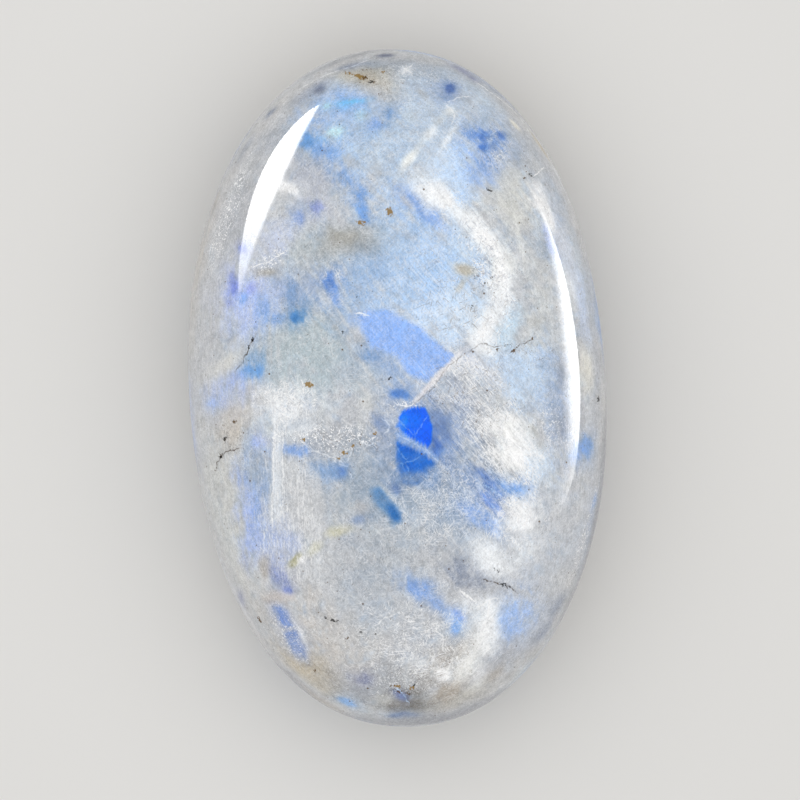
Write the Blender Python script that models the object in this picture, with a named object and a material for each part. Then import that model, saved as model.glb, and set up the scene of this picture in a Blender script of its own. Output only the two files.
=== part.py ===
"""Polished moonstone: a palm-sized, double-domed oval stone lying on its back.

The stone is one solid. Its outline is a superellipse that leans slightly to one side,
and a higher front dome and a shallower back dome meet at its widest line, the girdle.
A small flat, worn on the back dome, is what it rests on.

Frame: metres, +Z up. +Y runs along the stone, +X across it. The origin is the centre
of the small flat.
"""

import math

import bmesh
import bpy

# Driving dimensions, in metres. The outline's lean adds 0.2 mm to the width.
LENGTH = 0.0660
WIDTH = 0.0407
THICKNESS = 0.0200
GIRDLE_HEIGHT = 0.0092

# Shape of the outline and of the domes
OUTLINE_POWER = 2.12
OUTLINE_LEAN = 0.024
DOME_POWER = 2.15
FLAT_SHARE = 0.30

# Fineness of the mesh
SEGMENTS = 96
FRONT_RINGS = 16
BACK_RINGS = 12

# Finish
BODY_COLOUR = (0.52, 0.55, 0.61, 1.0)
BODY_ROUGHNESS = 0.06


def clear_scene():
    """Remove whatever the scene starts with."""
    for leftover in list(bpy.data.objects):
        bpy.data.objects.remove(leftover, do_unlink=True)


def outline_radius(turn):
    """Distance from the axis to the girdle, at an angle turned from +X."""
    across = abs(math.cos(turn)) / (WIDTH / 2)
    along = abs(math.sin(turn)) / (LENGTH / 2)
    oval = (across**OUTLINE_POWER + along**OUTLINE_POWER) ** (-1 / OUTLINE_POWER)
    return oval * (1 - OUTLINE_LEAN * math.sin(2 * turn))


def dome_rise(share):
    """Height of a dome of height 1, at a share of the way from its axis to the girdle."""
    return (1 - share**DOME_POWER) ** (1 / DOME_POWER)


def dome_shares(edge_share, rings):
    """Shares from the girdle in to edge_share, closest together at the girdle."""
    last_lift = math.acos(edge_share ** (DOME_POWER / 2))
    lifts = [last_lift * step / rings for step in range(rings + 1)]
    return [math.cos(lift) ** (2 / DOME_POWER) for lift in lifts]


def ring_levels():
    """Share and height of each ring, from the edge of the flat up to the last one."""
    back_depth = GIRDLE_HEIGHT / dome_rise(FLAT_SHARE)
    front_height = THICKNESS - GIRDLE_HEIGHT
    back = [
        (share, GIRDLE_HEIGHT - back_depth * dome_rise(share))
        for share in dome_shares(FLAT_SHARE, BACK_RINGS)
    ]
    front = [
        (share, GIRDLE_HEIGHT + front_height * dome_rise(share))
        for share in dome_shares(0, FRONT_RINGS)
    ]
    # The girdle is in both lists, and the front's last ring is the summit's single point
    return back[::-1] + front[1:-1]


def ring_of_vertices(mesh, share, height):
    """One closed ring of vertices at a share of the outline."""
    ring = []
    for step in range(SEGMENTS):
        turn = 2 * math.pi * step / SEGMENTS
        radius = share * outline_radius(turn)
        ring.append(mesh.verts.new((radius * math.cos(turn), radius * math.sin(turn), height)))
    return ring


def stone_mesh():
    """The stone's closed skin, from the resting flat up to the summit."""
    mesh = bmesh.new()
    rings = [ring_of_vertices(mesh, share, height) for share, height in ring_levels()]
    centre = mesh.verts.new((0, 0, 0))
    summit = mesh.verts.new((0, 0, THICKNESS))
    for step in range(SEGMENTS):
        following = (step + 1) % SEGMENTS
        mesh.faces.new((centre, rings[0][following], rings[0][step]))
        mesh.faces.new((summit, rings[-1][step], rings[-1][following]))
        for lower, upper in zip(rings, rings[1:]):
            mesh.faces.new((lower[step], lower[following], upper[following], upper[step]))
    bmesh.ops.recalc_face_normals(mesh, faces=mesh.faces)
    return mesh


def moonstone_material():
    """Milky, faintly blue stone with a gloss polish."""
    material = bpy.data.materials.new("moonstone")
    material.use_nodes = True
    shader = material.node_tree.nodes["Principled BSDF"]
    shader.inputs["Base Color"].default_value = BODY_COLOUR
    shader.inputs["Roughness"].default_value = BODY_ROUGHNESS
    shader.inputs["Metallic"].default_value = 0.0
    return material


def make_moonstone():
    """The stone as an object, shaded smooth all over."""
    skin = bpy.data.meshes.new("moonstone")
    mesh = stone_mesh()
    mesh.to_mesh(skin)
    mesh.free()
    skin.shade_smooth()
    skin.materials.append(moonstone_material())
    stone = bpy.data.objects.new("moonstone", skin)
    bpy.context.collection.objects.link(stone)
    return stone


clear_scene()
make_moonstone()
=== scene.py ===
"""Looks of a polished moonstone palm stone: its skin, its markings, its polish and the studio.

Places on the stone are in millimetres from its centre, x to the right and y up as its front
dome is seen from above. Angles are in degrees, anticlockwise from x.
"""

import math

import bpy
import numpy as np
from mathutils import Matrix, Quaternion, Vector, noise


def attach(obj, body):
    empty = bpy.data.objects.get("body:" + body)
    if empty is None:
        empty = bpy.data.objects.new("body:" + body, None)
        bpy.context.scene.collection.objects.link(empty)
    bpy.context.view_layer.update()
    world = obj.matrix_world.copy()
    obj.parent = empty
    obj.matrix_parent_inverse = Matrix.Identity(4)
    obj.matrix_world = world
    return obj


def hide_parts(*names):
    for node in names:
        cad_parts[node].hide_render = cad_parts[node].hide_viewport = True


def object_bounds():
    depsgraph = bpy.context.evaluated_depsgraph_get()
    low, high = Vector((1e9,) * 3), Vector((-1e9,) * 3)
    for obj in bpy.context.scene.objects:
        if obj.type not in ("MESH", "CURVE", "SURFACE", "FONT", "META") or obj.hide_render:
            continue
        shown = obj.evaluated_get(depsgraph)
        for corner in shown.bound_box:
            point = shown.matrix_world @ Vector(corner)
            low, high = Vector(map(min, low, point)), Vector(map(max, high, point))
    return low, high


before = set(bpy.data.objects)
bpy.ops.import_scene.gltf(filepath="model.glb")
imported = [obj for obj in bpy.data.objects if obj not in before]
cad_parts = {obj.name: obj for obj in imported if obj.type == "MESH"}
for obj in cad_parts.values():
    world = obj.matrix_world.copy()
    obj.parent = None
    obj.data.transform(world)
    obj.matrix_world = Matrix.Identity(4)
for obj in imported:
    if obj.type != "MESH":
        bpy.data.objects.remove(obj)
cad_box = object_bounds()

NODE = "moonstone"
BODY = "root"
PIECE = "polished_stone"
MM = 0.001

# The stone's shape, as part.py makes it. The finer mesh is a trace smaller than the box of
# the CAD solid, so that it stays inside, and the outline's lean widens that box
BOX_WIDTH, BOX_LENGTH, THICKNESS = [(high - low) / MM for low, high in zip(*cad_box)]
LEAN_WIDENING = 1.0039
LENGTH = BOX_LENGTH - 0.04
WIDTH = BOX_WIDTH / LEAN_WIDENING - 0.02
GIRDLE_HEIGHT = 0.46 * THICKNESS
OUTLINE_POWER = 2.12
OUTLINE_LEAN = 0.024
DOME_POWER = 2.15
FLAT_SHARE = 0.30
MEAN_RADIUS = (WIDTH + LENGTH) / 4

# How finely the skin is meshed: vertices round the girdle, how often that number is halved
# towards the middle, and how far apart the rings lie on the domes
GIRDLE_SEGMENTS = 576
MOST_HALVINGS = 3
FRONT_SPACING = 0.18
BACK_SPACING = 0.50
# Shares of the way out of the flat's rings and of the ring round the summit
FLAT_SHARES = (0.01, 0.1, 0.2)
SUMMIT_SHARE = 0.004
# A dome's arc is measured in this many steps
ARC_STEPS = 4000

# From this share of the way out, markings run on down the side as if it were unrolled flat
UNROLL_SHARE = 0.93
# Markings of the front turn into those of the back over this height either side of the girdle
SIDE_BLEND = 1.6
# The hand-polished skin is lower than the CAD solid by up to this much, in slow waves
WAVE_DEPTH = 0.030
WAVE_LENGTH = 7.0

# Which way the stone's fibres run, how wide they are, and how much longer than wide
SLANT = -50.0
UPRIGHT = 91.0
FIBRE_WIDTH = 0.5
FIBRE_STRETCH = 6.0
# Markings bend in broad and fine waves: wave size, octaves, seeds, depth
BENDS = [(4.0, 2, (1, 2), 0.9), (0.9, 3, (3, 4), 0.20)]
# Markings narrower than this have smoother edges
RAGGED_WIDTH = 1.6

# Unevenness of brightness in lumps: size, detail, the noise at which it is darkest, strength
LUMPS = [(1.4, 4, 0.25, 0.08), (0.45, 3, 0.25, 0.09), (0.10, 1, 0.30, 0.07)]
# Unevenness of brightness along the fibres: mask, turn, length, width, strength
STREAKS = [
    ("all", -50, 2.4, 0.15, 0.07),
    ("all", 40, 1.8, 0.13, 0.06),
    ("all", 92, 2.4, 0.14, 0.06),
    ("down", -50, 3.0, 0.45, 0.14),
    ("down", -46, 2.4, 0.16, 0.12),
    ("up", 91, 4.0, 0.30, 0.07),
    ("up", 88, 3.0, 0.12, 0.05),
]
# Pinholes: spacing, radius, seed, strength, and the share of places that have one
PINHOLES = [(1.9, 0.13, 3, 0.85), (1.0, 0.085, 4, 0.8), (0.7, 0.06, 9, 0.7)]
PINHOLE_SHARE = 0.45
# Flecks of glitter, painted glints: size, turn, how rare they are from 0 to 1
PAINTED_GLINTS = [(0.30, 30, 0.62), (0.16, -40, 0.60), (0.11, 70, 0.60)]
# Half widths of strokes and cracks, and how far their edges and those of specks shake
STROKE_WIDTH = 0.11
CRACK_WIDTH = 0.10
LINE_SHAKE = 0.11
SPECK_SHAKE = 0.13
# Hairs grow in clumps of these sizes. Those up to this long bend, this far in waves this wide
CLUMP_SIZES = (0.8, 1.3, 2.0)
STRAIGHT_LENGTH = 5.0
BEND_DEPTH = 0.45
BEND_SIZE = 2.4

# Contrast of the broad fields, about a pale grey
CONTRAST = 1.2
PIVOT = (210, 215, 224)
# A patch fades out over up to this many millimetres more, at this share of its strength
HALO_REACH = 0.9
HALO = 0.4
# The finer mottling is this much weaker from here outwards, where the domes turn steep
RIM_SHARE = 0.86
RIM_CALM = 0.55

# The polish, and the haze that its mirroring of the studio lays over every colour
ROUGHNESS = 0.045
FELDSPAR_IOR = 1.53
STUDIO_HAZE = 0.017

# The studio: the photograph's scale and aim in millimetres, its lens, and a pale table top
SCALE_PER_PIXEL = 66.0 / 678
FRAME_PIXELS = 800
STONE_PIXEL = (397.5, 388.0)
LENS = 250.0
SENSOR = 36.0
SURROUNDINGS = 0.35
OVERHEAD = 0.65
OVERHEAD_ANGLE = 120.0
TABLE_REACH = 1500.0
TABLE_COLOUR = (0.72, 0.71, 0.69, 1.0)
TABLE_ROUGHNESS = 0.7
PANEL_DISTANCE = 450.0
# Panels: name, heading, elevation, tilt, length, width, bow, softness of the edges, power,
# and how they fade along their length, as places from 0 to 1 and the brightness there
PANELS = [
    ("left_panel", 143.4, 25.8, 10.4, 402, 154, 0, (6, 34), 4.9,
     [(0.0, 1.0), (0.5, 1.0), (0.72, 0.5), (1.0, 0.06)]),
    ("right_panel", 4.3, 17.7, -16.8, 420, 166, -57, (10, 110), 5.4,
     [(0.0, 0.08), (0.30, 0.24), (0.45, 0.7), (0.6, 1.0), (0.8, 1.0), (1.0, 0.6)]),
]

# Colours, in display values, as they look under this studio's light
BASE = (199, 203, 208)
GREY = (180, 183, 190)
COOL_GREY = (184, 187, 195)
TAUPE_GREY = (186, 182, 182)
TAUPE = (178, 168, 156)
MILK_GREY = (174, 185, 193)
OLIVE_GREY = (172, 168, 160)
GREEN_GREY = (181, 195, 202)
WARM_GREY = (203, 198, 193)
VEIL_GREY = (203, 206, 210)
MOON_GREY = (193, 195, 199)
PEARL = (200, 202, 207)
WARM_PEARL = (213, 214, 211)
BEIGE = (205, 197, 187)
TAN = (196, 180, 150)
PEACH = (208, 192, 178)
STRAW = (206, 202, 170)
OLIVE = (176, 172, 128)
CREAM = (238, 234, 220)
CREAM_WHITE = (252, 252, 246)
WHITE = (250, 253, 255)
ICE_WHITE = (220, 235, 249)
SNOW = (255, 255, 255)
LILAC_WHITE = (216, 223, 238)
ICE = (190, 214, 241)
SKY = (183, 213, 249)
PALE_BLUE = (162, 193, 242)
HAZE_BLUE = (138, 168, 208)
LAVENDER = (176, 196, 246)
PERIWINKLE = (146, 186, 253)
MID_BLUE = (132, 170, 233)
BLUE = (104, 160, 222)
BRIGHT_BLUE = (98, 154, 234)
BLUE_BRIGHT = (55, 110, 230)
ROYAL = (8, 104, 255)
COBALT = (22, 98, 212)
COBALT_HAZE = (70, 108, 185)
NAVY = (50, 84, 160)
TEAL = (70, 130, 195)
STEEL = (136, 158, 196)
SLATE = (132, 142, 163)
SLATE_BLUE = (118, 135, 185)
SLATE_VIOLET = (135, 140, 172)
VIOLET = (122, 140, 225)
VIOLET_GREY = (118, 136, 204)
CYAN = (130, 218, 255)
OPAL_BLUE = (140, 182, 235)
OCHRE = (150, 120, 62)
BROWN = (96, 72, 40)
BLACK = (34, 30, 26)
DARK_SLATE = (100, 108, 132)
SHADE = (150, 156, 166)
BLUE_SHADE = (146, 168, 205)
LIGHT_SKY = (204, 226, 252)
HAZE_LILAC = (183, 188, 200)
WARM_SHADE = (180, 181, 184)
RIM = (203, 202, 202)
CYAN_WHITE = (190, 236, 252)
PEARL_WHITE = (226, 226, 228)
DULL_WHITE = (216, 221, 226)
STRONG_BLUE = (66, 114, 204)
DUSK_BLUE = (112, 146, 220)
TANGLE_GREY = (152, 168, 188)
STONE_BLUE = (146, 162, 180)
PALE_LAVENDER = (208, 218, 244)
TAN_GREY = (176, 172, 164)
SLATE_DEEP = (112, 136, 180)
STEEL_HAZE = (150, 177, 216)
AZURE = (0, 116, 255)
TEAL_DEEP = (44, 108, 184)
DEEP_LAVENDER = (158, 172, 240)
MILK_WHITE = (222, 226, 232)
# Painted shade for the rim
RIM_SHADE = (160, 162, 168)
RIM_TAN_SHADE = (172, 162, 150)
HAZE_GREY = (164, 178, 194)
MESH_CYAN = (140, 200, 255)
ICE_SKY = (200, 226, 246)
SKY_GREY = (178, 203, 233)
TAUPE_DEEP = (134, 130, 124)
CYAN_BRIGHT = (205, 244, 255)
BUBBLE_BLUE = (112, 158, 206)
VIOLET_PALE = (170, 186, 212)
LILAC_SKY = (200, 214, 240)
BLUE_HAZE = (120, 158, 208)
SLATE_MIST = (126, 152, 190)
BAND_BLUE = (134, 170, 226)
CHIP_BLUE = (88, 136, 212)
ROSE_WHITE = (228, 224, 228)
MESH_BLUE = (96, 140, 214)
SKY_BLUE = (128, 178, 246)
BLUE_SLATE = (84, 122, 198)
LILAC_BLUE = (170, 190, 246)
CRACK_BROWN = (74, 58, 38)

# Broad fields: name, x, y, half length, half width, turn, colour, strength, softness.
# In these tables, places near or beyond the outline are those of the side unrolled flat
# The sky-blue and lavender fields are the stone's sheen, painted as colour
FIELDS = [
    ("left shoulder", -14.4, 19.8, 10.9, 2.3, 65, GREY, 0.55, 0.9),
    ("top shoulder", 0.7, 31.5, 7.6, 1.5, 0, SHADE, 0.55, 0.9),
    ("right shoulder", 14.7, 22.2, 10.1, 1.8, -62, COOL_GREY, 0.5, 0.9),
    ("right rim", 19.3, -1.2, 10.7, 1.2, 90, COOL_GREY, 0.5, 1),
    ("upper glow", 2.7, 11, 6.2, 6, 0, SKY, 0.95, 0.7),
    ("glow's left side", -0.7, 12.7, 3.7, 4.3, 0, SKY_GREY, 0.7, 1),
    ("glow's foot", 4.6, 6.1, 3.7, 2.3, 20, LIGHT_SKY, 0.8, 0.8),
    ("upper veil", 2.7, 25.6, 6, 4.9, 30, ICE, 0.6, 1),
    ("sky run", 6, 20, 3.7, 1.9, 75, LIGHT_SKY, 0.95, 0.7),
    ("upper left blue", -5, 26.5, 3.5, 2.1, 12, PALE_BLUE, 0.55, 0.6),
    ("blue under it", -4.4, 24.1, 3.7, 2.9, 0, ICE, 0.6, 0.9),
    ("beige window", -8.5, 20.4, 2.5, 1.9, 0, HAZE_LILAC, 0.9, 0.7),
    ("milk left of the glow", -5.8, 13.8, 4.5, 2.1, 0, MILK_GREY, 0.75, 0.9),
    ("olive haze", -4.6, 14.1, 2.5, 1.5, 0, OLIVE_GREY, 0.75, 0.8),
    ("green-grey field", -8.3, 3.5, 4.9, 4.1, 0, GREEN_GREY, 0.85, 0.7),
    ("blue wash", -10.7, 9.3, 3.3, 2.3, 0, BLUE_SHADE, 0.6, 0.8),
    ("lavender side", -14.7, 8.3, 2.5, 3.3, 0, PALE_LAVENDER, 0.8, 0.8),
    ("left rim", -18.4, 5.6, 9.7, 1.6, 88, PEARL, 0.7, 1),
    ("low left beige", -15.7, -3.1, 3.3, 1.4, 60, BEIGE, 0.7, 0.9),
    ("low left rim", -16.5, -12.4, 8.8, 1.8, -72, WARM_PEARL, 0.75, 1),
    ("lavender sheet", -13.6, -12.8, 4.3, 1.8, 100, LAVENDER, 0.9, 0.6),
    ("lavender foot", -11.3, -15.2, 1.9, 1.6, 70, LAVENDER, 0.95, 0.5),
    ("cleavage veil", -9.1, -10.9, 7.8, 2.9, 92, VEIL_GREY, 0.7, 0.8),
    ("grey middle", 0.2, -21.6, 10.7, 7.8, 0, MOON_GREY, 0.7, 1),
    ("warm foot", -6.1, -25.5, 7.8, 3.3, -38, WARM_GREY, 0.75, 0.9),
    ("tan foot", -8.7, -27.5, 2.9, 1.4, -40, TAN, 0.6, 0.9),
    ("right foot", 13.9, -16.7, 8.8, 4.9, 60, PEARL, 0.7, 1),
    ("cloudy foot", 9.5, -26.5, 4.9, 2.3, 35, TAUPE_GREY, 0.5, 0.9),
    ("olive foot", 4.1, -26.5, 4.3, 1.4, 42, TAUPE, 0.45, 0.9),
    ("beige right", 10.8, 18.5, 2.5, 3.7, 10, WARM_PEARL, 0.9, 0.7),
    ("grey right", 13.9, 5.6, 5.8, 1.6, -83, WARM_PEARL, 0.6, 0.9),
    ("ice right", 11.9, 1.3, 3.7, 2.9, -40, LIGHT_SKY, 0.7, 0.8),
    ("top left tan", -3.1, 30, 2.5, 1.2, -10, TAN, 0.55, 0.9),
    ("tangle's shade", 6.9, -10.1, 4.9, 3.3, -68, TANGLE_GREY, 0.85, 0.8),
    ("heart's haze", 2.2, -5.1, 3.3, 4.5, 10, BLUE_SHADE, 0.5, 0.8),
    ("haze right of the heart", 4.6, -3.6, 2.5, 1.8, -50, BLUE_SHADE, 0.8, 0.7),
    ("shade in the sparkle band", -6.1, -5.1, 5.3, 1.5, 0, SHADE, 0.3, 0.9),
    ("slant's shade", 6.9, -1.7, 4.1, 2.3, -50, WARM_SHADE, 0.65, 0.8),
    ("foot's shade", -2.2, -28.6, 4.3, 2.1, 0, SHADE, 0.55, 0.9),
    ("right grey-blue", 15.1, -1.2, 4.5, 1.2, -85, BLUE_SHADE, 0.5, 0.9),
    ("left of the heart", -1.3, -5.8, 1.5, 2.9, -20, BLUE_SHADE, 0.35, 0.8),
    ("second tan", -1.3, 28, 1.6, 1.2, 0, BEIGE, 0.5, 0.9),
    ("dark middle", -3.1, -9.3, 3.9, 2.9, -60, STONE_BLUE, 0.6, 0.9),
    ("grey below it", -1.1, -16.4, 5.8, 3.3, 70, STONE_BLUE, 0.3, 1),
    ("glow's left shade", -3.7, 9.9, 3.3, 2.1, 60, HAZE_BLUE, 0.4, 0.9),
    ("shade under the dash", -2.3, 25.5, 2.5, 1.6, 0, HAZE_BLUE, 0.35, 0.9),
    ("blue left of the column", -13.2, -8.8, 4.9, 1.3, 92, HAZE_BLUE, 0.45, 0.9),
    ("pale blue by the crescent", -11.3, 14.4, 1.9, 1.2, 40, PALE_LAVENDER, 0.7, 0.8),
    ("warm low rim", 6.3, -30.2, 3.9, 1.2, 20, TAN_GREY, 0.6, 0.9),
    ("dark foot", 1, -30.6, 2.5, 1.4, 0, TAUPE_DEEP, 0.8, 0.8),
    ("brown shade at the foot", 4.8, -29.2, 1.4, 0.78, 30, TAUPE, 0.7, 0.8),
    ("brown shade at the foot", 9.5, -27.7, 1.2, 0.58, 40, TAUPE, 0.5, 0.8),
]
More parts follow.
